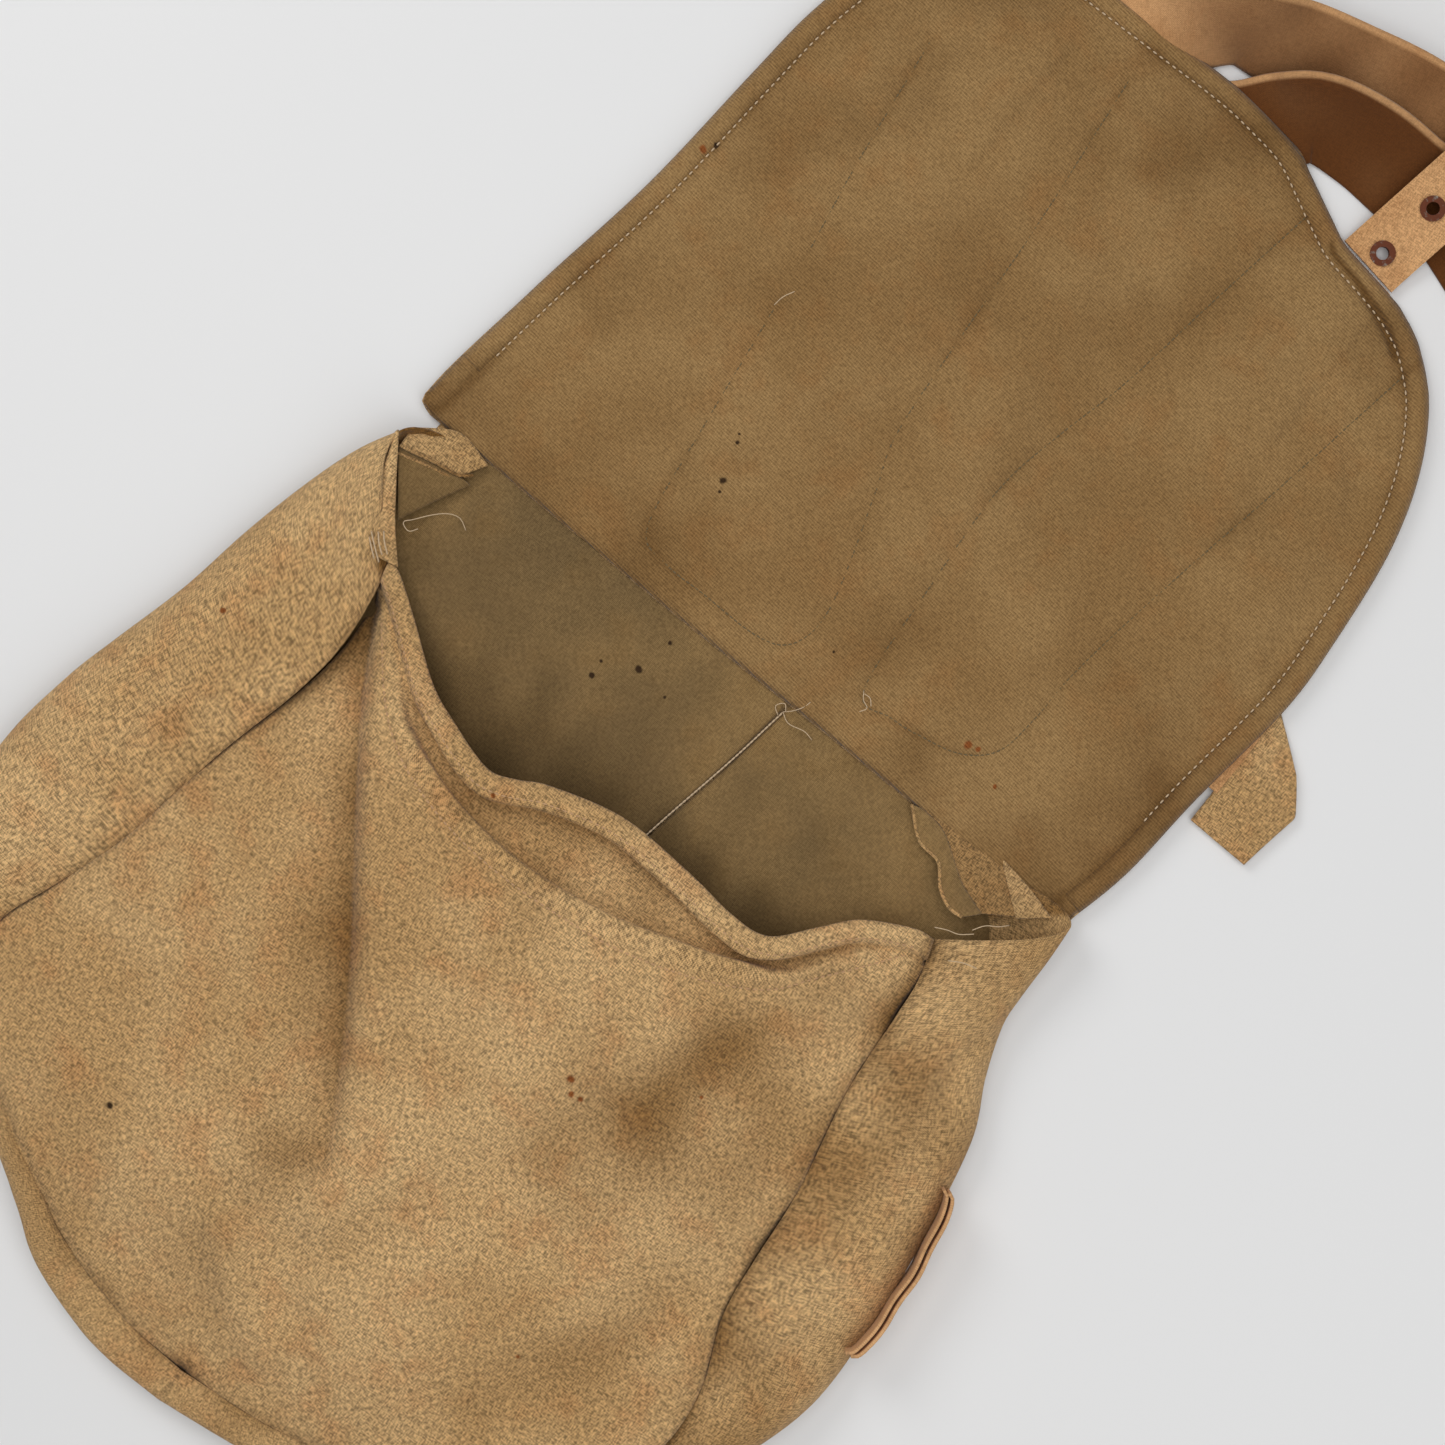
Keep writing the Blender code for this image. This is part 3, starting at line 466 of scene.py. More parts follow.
for name, side in (("lining_left", 0), ("lining_right", 1)):
    def lining_place(a, b):
        middle = read(curve(CENTRE_SEAM, 120), 1 - b)
        x, y = lining_plan(mix(0.5, 1.0, a) if side else mix(0.0, 0.5, a), b)
        pull = (1 - a) if side else a
        x = x + (middle[:, 0] - lining_plan(0 * a + 0.5, b)[0]) * pull
        x = x + (LINING_GAP if side else -LINING_GAP) * pull
        return x, y, lining_height(x, y), x, y

    # Painted shade: the lining darkens deeper into the mouth, under the front's hem, with a random cloud of
    # tone.
    def lining_marks(x, y):
        near = soft(-118, -60, y) * 0.55
        return np.clip(0.62 - near + 0.2 * ripple(x, y, 7, 50), 0, 1)

    half = cloth(name, 75, 110, lining_place, DRILL_WALL, olive_drill, lining_marks)
    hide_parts("back_" + name)
    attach(half, "sack")


def thread_finish(name, colour):
    made = Finish(name, 0.85, Sheen_Weight=0.2)
    twist = made.noise(made.stretched(made.place(), (900, 900, 900)), 1.0, 1.0)
    made.colour(made.mix(twist, tuple(value * 0.62 for value in colour[:3]) + (1,), colour))
    return made


def stitches(name, rows, height, body, finish, pitch, long, thick=0.34):
    """Rows of separate machine stitches laid along curves on a cloth whose height is known."""
    bm = bmesh.new()
    for row in rows:
        reach = np.sum(np.hypot(*np.diff(np.array(row, float)[:, :2], axis=0).T))
        line = curve(row, int(reach / pitch) * 2 + 2)
        level = height(line[:, 0], line[:, 1])
        for index in range(0, len(line) - 1, 2):
            (x, y), (p, q) = line[index][:2], line[index + 1][:2]
            heading = atan2(q - y, p - x)
            climb = atan2(level[index + 1] - level[index], hypot(p - x, q - y))
            turn = Matrix.Rotation(heading, 4, "Z") @ Matrix.Rotation(-climb, 4, "Y")
            size = Matrix.Diagonal((long / 2000, thick / 1000, thick / 1000, 1))
            middle = (level[index] + level[index + 1]) / 2 + 0.1
            spot = Matrix.Translation(at((x + p) / 2, (y + q) / 2, middle))
            bmesh.ops.create_uvsphere(bm, u_segments=6, v_segments=5, radius=1.0,
                                      matrix=spot @ turn @ size @ Matrix.Rotation(pi / 2, 4, "Y"))
    mesh = bpy.data.meshes.new(name)
    bm.to_mesh(mesh)
    bm.free()
    mesh.shade_smooth()
    mesh.materials.append(finish.material)
    made = bpy.data.objects.new(name, mesh)
    bpy.context.scene.collection.objects.link(made)
    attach(made, body)
    return made


def loose_threads(name, strands, body, finish, thick=0.28):
    """Loose ends of thread, each a short round tube through its own points."""
    bm = bmesh.new()
    for strand in strands:
        line = curve(strand, 3 * len(strand))
        ring = None
        for index, point in enumerate(line):
            before, after = line[max(index - 1, 0)], line[min(index + 1, len(line) - 1)]
            way = Vector(after - before).normalized()
            turn = way.to_track_quat("Z", "Y").to_matrix().to_4x4()
            made = bmesh.ops.create_circle(bm, segments=6, radius=thick / 1000,
                                           cap_ends=index in (0, len(line) - 1),
                                           matrix=Matrix.Translation(at(*point)) @ turn)["verts"]
            edges = [edge for edge in bm.edges if edge.verts[0] in made and edge.verts[1] in made]
            if ring:
                bmesh.ops.bridge_loops(bm, edges=ring + edges)
            ring = edges
    bmesh.ops.recalc_face_normals(bm, faces=bm.faces)
    mesh = bpy.data.meshes.new(name)
    bm.to_mesh(mesh)
    bm.free()
    mesh.shade_smooth()
    mesh.materials.append(finish.material)
    made = bpy.data.objects.new(name, mesh)
    bpy.context.scene.collection.objects.link(made)
    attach(made, body)
    return made


pale_thread = thread_finish("pale_thread", tint(214, 186, 150))
tan_thread = thread_finish("tan_thread", tint(208, 164, 118))
dark_thread = thread_finish("dark_thread", tint(112, 96, 62))
seam_top = [(29, -10), (24, -45), (16, -90), (10, -128)]
stitches("lining_seam_thread", [seam_top], lambda x, y: lining_height(x, y) + 1.3, "sack", pale_thread,
         pitch=2.6, long=3.0, thick=0.55)
loose_threads("lining_seam_ends", [
    [(29, -9, 6), (33, -5, 8.5), (36, 0, 9.6), (37, 4, 9.8)],
    [(29, -9, 6), (35, -12, 7.5), (44, -10, 8.5), (50, -11, 7)],
    [(28, -12, 6), (24, -9, 7.5), (27, -5, 8.5), (30, -8, 8)]], "sack", pale_thread)

# Front of the sack
# The front is one canvas sheet. Its mouth edge is rolled into a hem, sinks to a ledge, and the cloth below
# it folds back over the ledge; a row of stitches under the fold holds the facing inside.

LEFT_SEAM = [(-180, -76), (-174, -100), (-171, -128), (-174, -160), (-184, -205), (-190, -240), (-196, -275),
             (-208, -313), (-219, -345), (-217, -372), (-196, -398), (-155, -424), (-120, -443), (-89, -458),
             (-38, -471), (0, -473)]
RIGHT_SEAM = [(164, -52), (171, -73), (174, -97), (178, -142), (190, -197), (195, -240), (200, -272),
              (215, -308), (219, -340), (212, -368), (190, -400), (150, -430), (110, -450), (60, -466),
              (0, -473)]
MOUTH = [(-180, -76), (-171, -78), (-149, -92), (-121, -111), (-101, -119), (-72, -127), (-56, -122),
         (-41, -114), (-1, -103), (44, -104), (74, -107), (95, -104), (112, -85), (127, -68), (152, -54),
         (164, -52)]
COWL = [(-174, -84), (-150, -108), (-127, -128), (-116, -136), (-91, -149), (-58, -156), (-22, -157),
        (20, -151), (59, -139), (89, -128), (114, -112), (129, -92), (146, -74), (160, -60)]
FACING_ROW = [(-163, -104), (-140, -128), (-121, -144), (-99, -155), (-66, -163), (-30, -165), (9, -162),
              (40, -157), (77, -145), (111, -127), (128, -106), (146, -83), (157, -68)]
HEM_WIDTH = 12.0
HEM_RISE = 4.0
LEDGE_DROP = 12.0
LEDGE_ENDS = (-128, 118)
FRONT_CORNER = 0.74
SEAM_HEIGHT = 30.0
CROWN = 16.0
VALLEYS = [
    ([(-178, -88), (-174, -97), (-150, -137), (-123, -174), (-91, -216), (-52, -270), (-24, -316),
      (-6, -345)],
     -18.0, 6, 30, 14, 1.0),
    ([(135, -108), (122, -140), (108, -183), (84, -239), (58, -291), (41, -329), (20, -372), (0, -405)],
     -7.0, 17, 17, 40),
    ([(196, -70), (175, -94), (160, -122), (138, -158)], -3.5, 7, 10, 25),
    ([(200, -205), (184, -258), (173, -303), (163, -328), (143, -370), (105, -421)], -7.0, 12, 22, 40),
    ([(-135, -347), (-118, -326), (-101, -292), (-92, -255), (-84, -228)], -5.0, 16, 14, 30),
    ([(-44, -379), (-16, -411), (12, -429), (41, -445)], 4.5, 12, 12, 20),
    ([(-70, -345), (-38, -362), (2, -364), (40, -352)], 3.5, 14, 12, 30),
    ([(-20, -330), (-10, -362), (8, -392), (40, -422)], -5.0, 10, 13, 20),
    ([(-152, -112), (-128, -152), (-100, -190), (-70, -232)], 5.0, 12, 9, 25),
    ([(-196, -300), (-170, -318), (-146, -340), (-128, -372)], -3.0, 14, 12, 25),
    ([(60, -180), (30, -220), (6, -262)], 2.5, 26, 26, 40),
]


# Painted shade: soft round dark patches on the front, mostly on its right half and along its valleys.
FRONT_SHADES = [(154, -158, 38, 0.26), (132, -196, 46, 0.26), (98, -226, 44, 0.18),
                (112, -240, 30, 0.30), (170, -90, 30, 0.35), (-150, -88, 16, 0.3),
                (-30, -372, 40, 0.25), (150, -330, 30, 0.3)]


def seam_height(x, y):
    return mix(20.0, SEAM_HEIGHT, soft(-60, -200, y)) - 12.0 * soft(-380, -470, y)


def front_height(x, y):
    half = mix(176.0, 212.0, soft(-70, -330, y))
    crown = CROWN * np.clip(1 - np.abs(x / half) ** 2.4, 0, 1) * soft(-478, -330, y) ** 0.6
    rise = seam_height(x, y) + crown
    for valley in VALLEYS:
        rise = rise + crease(x, y, *valley)
    for seam in (LEFT_SEAM, RIGHT_SEAM):
        rise = rise - 2.6 * np.exp(-(beside(x, y, seam)[0] / 4.0) ** 2)
    from_mouth = np.abs(beside(x, y, MOUTH, 90)[0])
    past_cowl = -beside(x, y, COWL)[0]
    open_ledge = soft(LEDGE_ENDS[0] - 14, LEDGE_ENDS[0] + 26, x)
    open_ledge = open_ledge * soft(LEDGE_ENDS[1] + 16, LEDGE_ENDS[1] - 20, x)
    band = np.clip(1 - ((from_mouth - HEM_WIDTH / 2) / (HEM_WIDTH / 2)) ** 2, 0, 1) ** 0.5
    on_hem = soft(HEM_WIDTH + 1.6, HEM_WIDTH - 0.6, from_mouth)
    ledge = (1 - on_hem) * soft(2.2, -1.6, past_cowl) * open_ledge
    rise = rise - LEDGE_DROP * ledge + HEM_RISE * band * on_hem
    rise = rise + 2.4 * np.exp(-((past_cowl - 4.5) / 4.5) ** 2) * open_ledge
    groove = np.exp(-((from_mouth - HEM_WIDTH - 0.8) / 1.3) ** 2) * (1 - 0.6 * open_ledge)
    rise = rise - 2.4 * groove
    row = beside(x, y, FACING_ROW)[0]
    rise = rise - 0.9 * np.exp(-(row / 2.0) ** 2)
    rise = rise + (0.9 * ripple(x, y, 11, 70) + 0.45 * ripple(x, y, 12, 24)) * soft(0, 30, from_mouth)
    return rise + 0.5 * ripple(x, y, 13, 16) * on_hem


# How dark each vertex of the front is painted: painted shade in the valleys, along the seams, on the ledge
# under the cowl fold, on the right near the mouth and in FRONT_SHADES; a random cloud of tone; lighter
# towards the left.
def front_marks(x, y):
    soil_and_shade = np.zeros(np.shape(x))
    for valley in VALLEYS:
        if valley[1] < 0:
            soil_and_shade = soil_and_shade - crease(x, y, *valley) * 0.040 * mix(0.4, 1, soft(-345, -250, y))
    for shade_x, shade_y, reach, amount in FRONT_SHADES:
        soil_and_shade = soil_and_shade + amount * np.exp(-((x - shade_x) ** 2 + (y - shade_y) ** 2) / reach ** 2)
    soil_and_shade = soil_and_shade + 0.35 * soft(140, 205, x) * soft(-120, -40, y)
    soil_and_shade = soil_and_shade + 0.30 * np.exp(-(beside(x, y, LEFT_SEAM)[0] / 7) ** 2)
    soil_and_shade = soil_and_shade + 0.30 * np.exp(-(beside(x, y, RIGHT_SEAM)[0] / 7) ** 2)
    past_cowl = -beside(x, y, COWL)[0]
    from_mouth = np.abs(beside(x, y, MOUTH, 90)[0])
    soil_and_shade = soil_and_shade + 0.32 * soft(3, -6, past_cowl) * soft(HEM_WIDTH - 2, HEM_WIDTH + 1, from_mouth)
    soil_and_shade = soil_and_shade + 0.22 * ripple(x, y, 15, 90) - 0.2 * soft(-60, -110, x)
    return np.clip(soil_and_shade, 0, 1)


mouth_line = curve(MOUTH, 160)
front_plan = between_sides(LEFT_SEAM, RIGHT_SEAM, mouth_line, FRONT_CORNER)


def front_place(a, b):
    depth = (1 - b) ** 1.35
    x, y = front_plan(a, 1 - depth)
    past_cowl = -beside(x, y, COWL)[0]
    middle = soft(LEDGE_ENDS[0], LEDGE_ENDS[0] + 40, x) * soft(LEDGE_ENDS[1], LEDGE_ENDS[1] - 30, x)
    overhang = 6.5 * np.exp(-((past_cowl - 2.8) / 3.6) ** 2) * middle
    from_mouth = np.abs(beside(x, y, MOUTH, 90)[0])
    tuck = 2.6 * np.exp(-((from_mouth - HEM_WIDTH + 1.2) / 2.0) ** 2) * middle
    return x, y + overhang - tuck, front_height(x, y), x, y


def inward(line, gap):
    """A curve moved to its right, which is into the flap when the curve runs up its left side."""
    way = np.gradient(line[:, :2], axis=0)
    way = way / np.hypot(way[:, 0], way[:, 1])[:, None]
    return line[:, :2] + np.column_stack([way[:, 1], -way[:, 0]]) * gap


hem_row = [tuple(point) for point in inward(mouth_line, 9.5)[3:-3:4]]
front = cloth("front_canvas", 150, 190, front_place, CANVAS_WALL, tan_canvas, front_marks)
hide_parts("front_panel")
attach(front, "sack")
stitches("front_stitches", [FACING_ROW, hem_row], lambda x, y: front_height(x, y) + 0.2, "sack", tan_thread,
         pitch=3.6, long=2.5, thick=0.44)


def inside(curve_points, drop):
    return [(x * (1 - drop / 900), y - drop) for x, y in curve_points]


facing_plan = patch(curve(inside(FACING_ROW, 4), 120), curve(inside(MOUTH[1:-1], 5), 120),
                    curve([inside(FACING_ROW, 4)[0], inside(MOUTH[1:-1], 5)[0]], 20),
                    curve([inside(FACING_ROW, 4)[-1], inside(MOUTH[1:-1], 5)[-1]], 20))


def facing_place(a, b):
    x, y = facing_plan(a, b)
    return x, y, front_height(x, y) - 3.4, x, y


# The facing's even darkening of 0.6 is painted shade under the cowl fold.
facing = cloth("mouth_facing", 110, 24, facing_place, DRILL_WALL, tan_canvas, lambda x, y: 0 * x + 0.6)
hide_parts("front_facing")
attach(facing, "sack")

# Gussets
# One strip of canvas runs down each side and meets the other under the middle of the bottom. Its crease
# stands out past both seams, and its mouth end is turned in and held by a bar of thread.

LEFT_CREASE = [(-217, -24), (-228, -48), (-236, -75), (-245, -118), (-252, -161), (-263, -203), (-271, -236),
               (-276, -280), (-270, -325), (-247, -370), (-203, -409), (-152, -437), (-121, -457),
               (-96, -474), (-60, -486), (-32, -490), (0, -490)]
RIGHT_CREASE = [(214, -3), (216, -25), (217, -48), (219, -70), (229, -98), (242, -122), (250, -152),
                (258, -195), (263, -240), (265, -281), (257, -316), (240, -358), (208, -398), (160, -436),
                (110, -464), (60, -481), (0, -490)]
LEFT_INNER = [(-176, -5), (-192, -28), (-208, -66), (-221, -120), (-228, -165), (-237, -236), (-240, -285),
              (-232, -330), (-205, -374), (-160, -410), (-110, -436), (-60, -450), (0, -455)]
RIGHT_INNER = [(160, -6), (180, -28), (197, -62), (208, -100), (222, -150), (233, -205), (238, -260),
               (232, -310), (206, -360), (160, -404), (110, -434), (60, -449), (0, -455)]
CREASE_HEIGHT = 17.0
GUSSET_LAID = (96.0, 620.0)
GUSSET_FOLDS = {
    "left": [([(-215, -40), (-206, -62), (-190, -84)], 2.6, 6, 8, 8),
             ([(-226, -60), (-212, -84), (-196, -104)], -2.2, 7, 7, 10),
             ([(-236, -150), (-222, -200), (-214, -250)], 2.5, 15, 15, 30),
             ([(-262, -240), (-244, -290), (-232, -345)], -3.0, 12, 16, 30),
             ([(-210, -400), (-165, -424), (-120, -448), (-70, -468)], 3.0, 9, 7, 30)],
    "right": [([(217, -72), (214, -92), (219, -110), (232, -118)], -5.0, 6, 7, 8),
              ([(255, -239), (241, -263), (228, -294), (221, -333), (206, -356)], -5.0, 9, 9, 20),
              ([(205, -60), (198, -100), (206, -150), (216, -200)], 3.0, 12, 10, 25),
              ([(186, -60), (206, -78), (224, -100)], 2.2, 6, 6, 12),
              ([(240, -170), (228, -210), (216, -250)], 2.6, 12, 12, 25)],
}


def gusset_place(seam, crease_line, inner, side):
    seam, crease_line, inner = curve(seam, 160), curve(crease_line, 160), curve(inner, 160)
    folds = GUSSET_FOLDS[side]

    def place(a, b):
        share = 1 - b
        across = 1 - a
        top, out, low = read(seam, share), read(crease_line, share), read(inner, share)
        top_z = seam_height(top[:, 0], top[:, 1]) - 2.2
        out_z = mix(24.0, CREASE_HEIGHT, soft(0.0, 0.10, share)) - 4.0 * soft(0.7, 0.95, share)
        low_z = mix(4.6, 2.0, soft(0.0, 0.08, share))
        parts = []
        for high, middle, under in ((top[:, 0], out[:, 0], low[:, 0]), (top[:, 1], out[:, 1], low[:, 1]),
                                    (top_z, out_z, low_z)):
            handle = 2 * middle - (high + under) / 2
            parts.append(high * (1 - across) ** 2 + 2 * handle * across * (1 - across) + under * across ** 2)
        x, y, z = parts
        lift = 3.5 * np.sin(pi * np.clip(across / 0.62, 0, 1)) * soft(0, 0.12, share)
        facing_up = soft(0.56, 0.34, across)
        for points, high, left, right, fade in folds:
            lift = lift + crease(x, y, points, high, left, right, fade)
        z = z + lift * facing_up + (0.6 * ripple(x, y, 21, 60) + 0.3 * ripple(x, y, 22, 20)) * facing_up
        return x, y, z, across * GUSSET_LAID[0], share * GUSSET_LAID[1]

    return place


LEFT_TURN = [(-184, -84), (-217, -24), (-214, 10)]
RIGHT_TURN = [(160, -58), (177, -31), (203, -7), (214, 4)]


# How dark each vertex of a gusset is painted: painted shade along the seams, towards the right side and on
# the inner faces of the turned-in mouth ends, with a random cloud of tone.
def gusset_marks(x, y):
    gap = np.minimum(np.abs(beside(x, y, LEFT_SEAM)[0]), np.abs(beside(x, y, RIGHT_SEAM)[0]))
    near = np.exp(-(gap / 7) ** 2)
    soil_and_shade = 0.30 * near + 0.24 * ripple(x, y, 25, 80) + 0.30 * soft(60, 200, x)
    turned = soft(-1, 3, beside(x, y, LEFT_TURN)[0] * -1) * soft(-90, -78, y)
    soil_and_shade = soil_and_shade + turned * (x < 0)
    soil_and_shade = soil_and_shade + soft(-1, 3, beside(x, y, RIGHT_TURN)[0]) * (x > 0) * 0.5
    return np.clip(soil_and_shade, 0, 1)


for side, seam, outer, inner in (("left", LEFT_SEAM, LEFT_CREASE, LEFT_INNER),
                                 ("right", RIGHT_SEAM, RIGHT_CREASE, RIGHT_INNER)):
    gusset = cloth("gusset_canvas_" + side, 36, 200, gusset_place(seam, outer, inner, side), CANVAS_WALL,
                   tan_canvas, gusset_marks)
    if side == "left":
        gusset.data.flip_normals()
    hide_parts("gusset_" + side)
    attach(gusset, "sack")

# Mouth corners
# Inside each corner the lining's edge and the gusset's turned end lie over each other. A bar of thread
# holds the left one, and thread ends hang loose at both.

corner_canvas = canvas("corner_canvas", CANVAS_TAN, CANVAS_SOIL_AND_SHADE, CANVAS_ORANGE, CANVAS_SOIL_AND_SHADE,
                       threads_on="Object")
loose_threads("left_mouth_piping", [
    [(-213, -26, 21.5), (-197, -22, 15.5), (-181, -19, 10.5), (-175, -14, 9.5)],
    [(-212, -30, 20.5), (-197, -25.5, 14.5), (-182, -22, 10)]], "sack", corner_canvas, 0.9)
LEFT_EDGE_LOW = [(-190, -57, 16), (-182, -38, 11), (-173, -19, 8)]
LEFT_EDGE_HIGH = [(-213, -27, 20), (-197, -23, 14), (-180, -19, 9)]
LEFT_INSIDE_HIGH = [(-214, -14, 17), (-194, -1, 11), (-172, -5, 8)]
LEFT_TURN_LOW = [(-219, -22, 24), (-209, -46, 24), (-188, -79, 23)]
LEFT_TURN_HIGH = [(-218, -20, 24), (-191, -57, 22), (-174, -76, 20)]
STRIP_LOW = [(112, -4.5, 7.5), (127, -17, 9.5), (141, -19, 11), (150, -29, 14), (160, -34.5, 17),
             (168, -34, 20)]
STRIP_HIGH = [(118, -2.5, 7.0), (134, -5, 8.5), (156, -19, 11.5), (166, -23, 14), (175, -26, 19)]
INNER_HIGH = [(120, 0, 6.5), (140, 0, 7.5), (168, 2, 9), (181, -6, 13), (191, -15, 21)]
HEM_TURN = [(167, 2, 9), (178, -7, 14), (190, -17, 22)]
HEM_EDGE = [(168, 3, 10), (186, 0, 15), (204, -5, 23)]


def corner_place(low, high):
    low, high = curve(low, 60), curve(high, 60)

    def place(a, b):
        x, y, z = (read(low, a) * (1 - b)[:, None] + read(high, a) * b[:, None]).T
        return x, y, z + 1.2 * np.sin(pi * b) + 0.4 * ripple(x, y, 61, 14), x, y
    return place


# The last value darkens each piece evenly: painted shade on the gussets' inner faces in the corners,
# strongest on the right one.
for name, low, high, finish, shade_and_soil in (
        ("right_lining_edge", STRIP_LOW, STRIP_HIGH, olive_drill, 0.1),
        ("right_gusset_inside", STRIP_HIGH, INNER_HIGH, tan_canvas, 0.62),
        ("right_mouth_hem", HEM_TURN, HEM_EDGE, tan_canvas, 0.35),
        ("left_lining_edge", LEFT_EDGE_LOW, LEFT_EDGE_HIGH, olive_drill, 0.35),
        ("left_gusset_inside", LEFT_EDGE_HIGH, LEFT_INSIDE_HIGH, tan_canvas, 0.30),
        ("left_mouth_hem", LEFT_TURN_LOW, LEFT_TURN_HIGH, tan_canvas, 0.10)):
    turned = cloth(name, 30, 14, corner_place(low, high), 0.8, finish, lambda x, y, shade_and_soil=shade_and_soil: 0 * x + shade_and_soil)
    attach(turned, "sack")
loose_threads("right_facing_edge", [STRIP_LOW], "sack", corner_canvas, 1.0)
loose_threads("bar_of_thread", [
    [(-196, -70, 25), (-192, -73, 27), (-187, -77, 26), (-183, -80, 25)],
    [(-195, -73, 25), (-191, -76, 27), (-186, -80, 26)],
    [(-193, -68, 25), (-189, -72, 27.4), (-184, -76, 26)],
    [(-191, -66, 25), (-187, -70, 27.2), (-182, -74, 26)]], "sack", pale_thread, 0.4)
loose_threads("gusset_thread_ends", [
    [(-184, -52, 18), (-178, -44, 17), (-172, -38, 14), (-166, -36, 11), (-160, -39, 9)],
    [(-184, -52, 18), (-187, -56, 18.5), (-182, -58, 18), (-179, -54, 17)],
    [(190, -22, 20), (186, -26, 22), (180, -30, 24), (176, -36, 25)],
    [(160, -47, 24), (166, -44, 25), (172, -42, 25), (178, -37, 25)],
    [(176, -56, 27), (183, -52, 28), (190, -50, 27)]], "sack", pale_thread)

# Side loop
# A tape sewn to the right gusset's crease at both ends stands off the cloth between them, so that a strap
# can pass through. Its cut ends are rolled under.

LOOP_TOP = (251, -150)
LOOP_LOW = (264, -246)
LOOP_STANDS = 8.0
LOOP_TAPE = 21.0
LOOP_FLOOR = 9.0

TAPE_TAN = tint(214, 166, 118)
TAPE_DEEP = tint(196, 148, 102)
TAPE_BROWN = tint(170, 118, 74)
# The darkest webbing colour, used for painted shade as well as for real soil.
TAPE_SOIL_AND_SHADE = tint(96, 58, 28)
TAPE_PITCH = 1.15
TAIL_FOLD = (122.0, 366.0)
TAIL_TILT = radians(9)
EYELET_FIRST = 10.0
EYELET_PITCH = 33.0
EYELET_STAINS = []
for eyelet in range(5):
    reach = EYELET_FIRST + EYELET_PITCH * eyelet
    EYELET_STAINS.append((TAIL_FOLD[0] + reach * sin(TAIL_TILT), TAIL_FOLD[1] + reach * cos(TAIL_TILT), 5.6,
                          tint(74, 34, 16)))
webbing = canvas("cotton_webbing", TAPE_TAN, TAPE_DEEP, TAPE_BROWN, TAPE_SOIL_AND_SHADE, pitch=TAPE_PITCH, grain=0.2)
flat_webbing = canvas("flat_webbing", TAPE_TAN, TAPE_DEEP, TAPE_BROWN, TAPE_SOIL_AND_SHADE, pitch=TAPE_PITCH,
                      grain=0.42, spots=EYELET_STAINS, threads_on="Object")
flat_canvas = canvas("flat_canvas", CANVAS_PALE, CANVAS_TAN, CANVAS_ORANGE, CANVAS_SOIL_AND_SHADE, threads_on="Object")


def loop_place(offset):
    top, low = np.array(LOOP_TOP, float), np.array(LOOP_LOW, float)
    way = (low - top) / np.linalg.norm(low - top)
    out = np.array([-way[1], way[0]])

    def place(a, b):
        length = np.linalg.norm(low - top)
        along = a * length
        stand = LOOP_STANDS * np.sin(pi * a) ** 0.35 + offset + 0.7 * np.sin(a * 17) * np.sin(pi * a)
        x = top[0] + way[0] * along + out[0] * stand
        y = top[1] + way[1] * along + out[1] * stand
        return x, y, LOOP_FLOOR + b * LOOP_TAPE + 0.8 * np.sin(a * 9), along, b * LOOP_TAPE
    return place


loop = cloth("side_loop_tape", 60, 10, loop_place(0.0), 1.8, webbing)
loop_under = cloth("side_loop_lower_layer", 60, 10, loop_place(-3.2), 1.6, webbing)
for piece in (loop, loop_under):
    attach(piece, "sack")
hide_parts("side_loop")
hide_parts("side_loop")

# Flap
# Drill lining over outer canvas, turned in and topstitched all round, so that the edge rolls. Rows of
# quilting in two long U shapes hold the lining to the canvas over the straps' sewn ends.

FLAP_LEVEL = 9.2
FLAP_TAN = tint(154, 123, 82)
FLAP_BROWN = tint(140, 109, 70)
FLAP_OCHRE = tint(146, 104, 62)
# The darkest flap colour, used for painted shade as well as for real soil.
FLAP_SOIL_AND_SHADE = tint(106, 78, 45)
FLAP_LEFT = [(-212, -3), (-221, 8), (-211, 85), (-199, 163), (-193, 240), (-189, 285), (-180, 322),
             (-162, 352)]
FLAP_FAR = [(-162, 352), (-128, 380), (-95, 391), (-66, 393), (-28, 394), (0, 395), (20, 394.5), (53, 390),
            (67, 384), (92, 372), (105, 366.3), (122, 363.2), (141, 360), (152, 357), (170, 348), (192, 328)]
HEM_SPLIT = [(97, 366), (103, 359), (122, 355), (138, 350), (152, 344), (166, 334)]
FLAP_RIGHT = [(213, -4), (222, 38), (226, 91), (233, 157), (231, 201), (224, 255), (211, 296), (192, 328)]
FLAP_FOLD = [(-212, -3), (-60, -4.5), (60, -3.5), (213, -4)]
TOPSTITCH = 12.0
LEFT_U_LOW = [(-107, 152), (-97, 80), (-87, 22), (-68, 13), (-41, 13), (-10, 13), (8, 19), (15, 36), (11, 62),
              (-5, 110), (-16, 143), (-22, 210), (-27, 274), (-37, 362)]
LEFT_U_HIGH = [(-112, 190), (-121, 240), (-131, 313)]
RIGHT_U = [(80, 364), (70, 300), (61, 238), (50, 190), (44, 151), (48, 90), (55, 26), (75, 24), (92, 26),
           (115, 32), (130, 46), (134, 70), (135, 100), (141, 145), (148, 188), (159, 250), (174, 343)]
STRAP_SHOWS = [(-115, -72, 272, 350, 2.4), (101, 140, 258, 360, 2.2)]
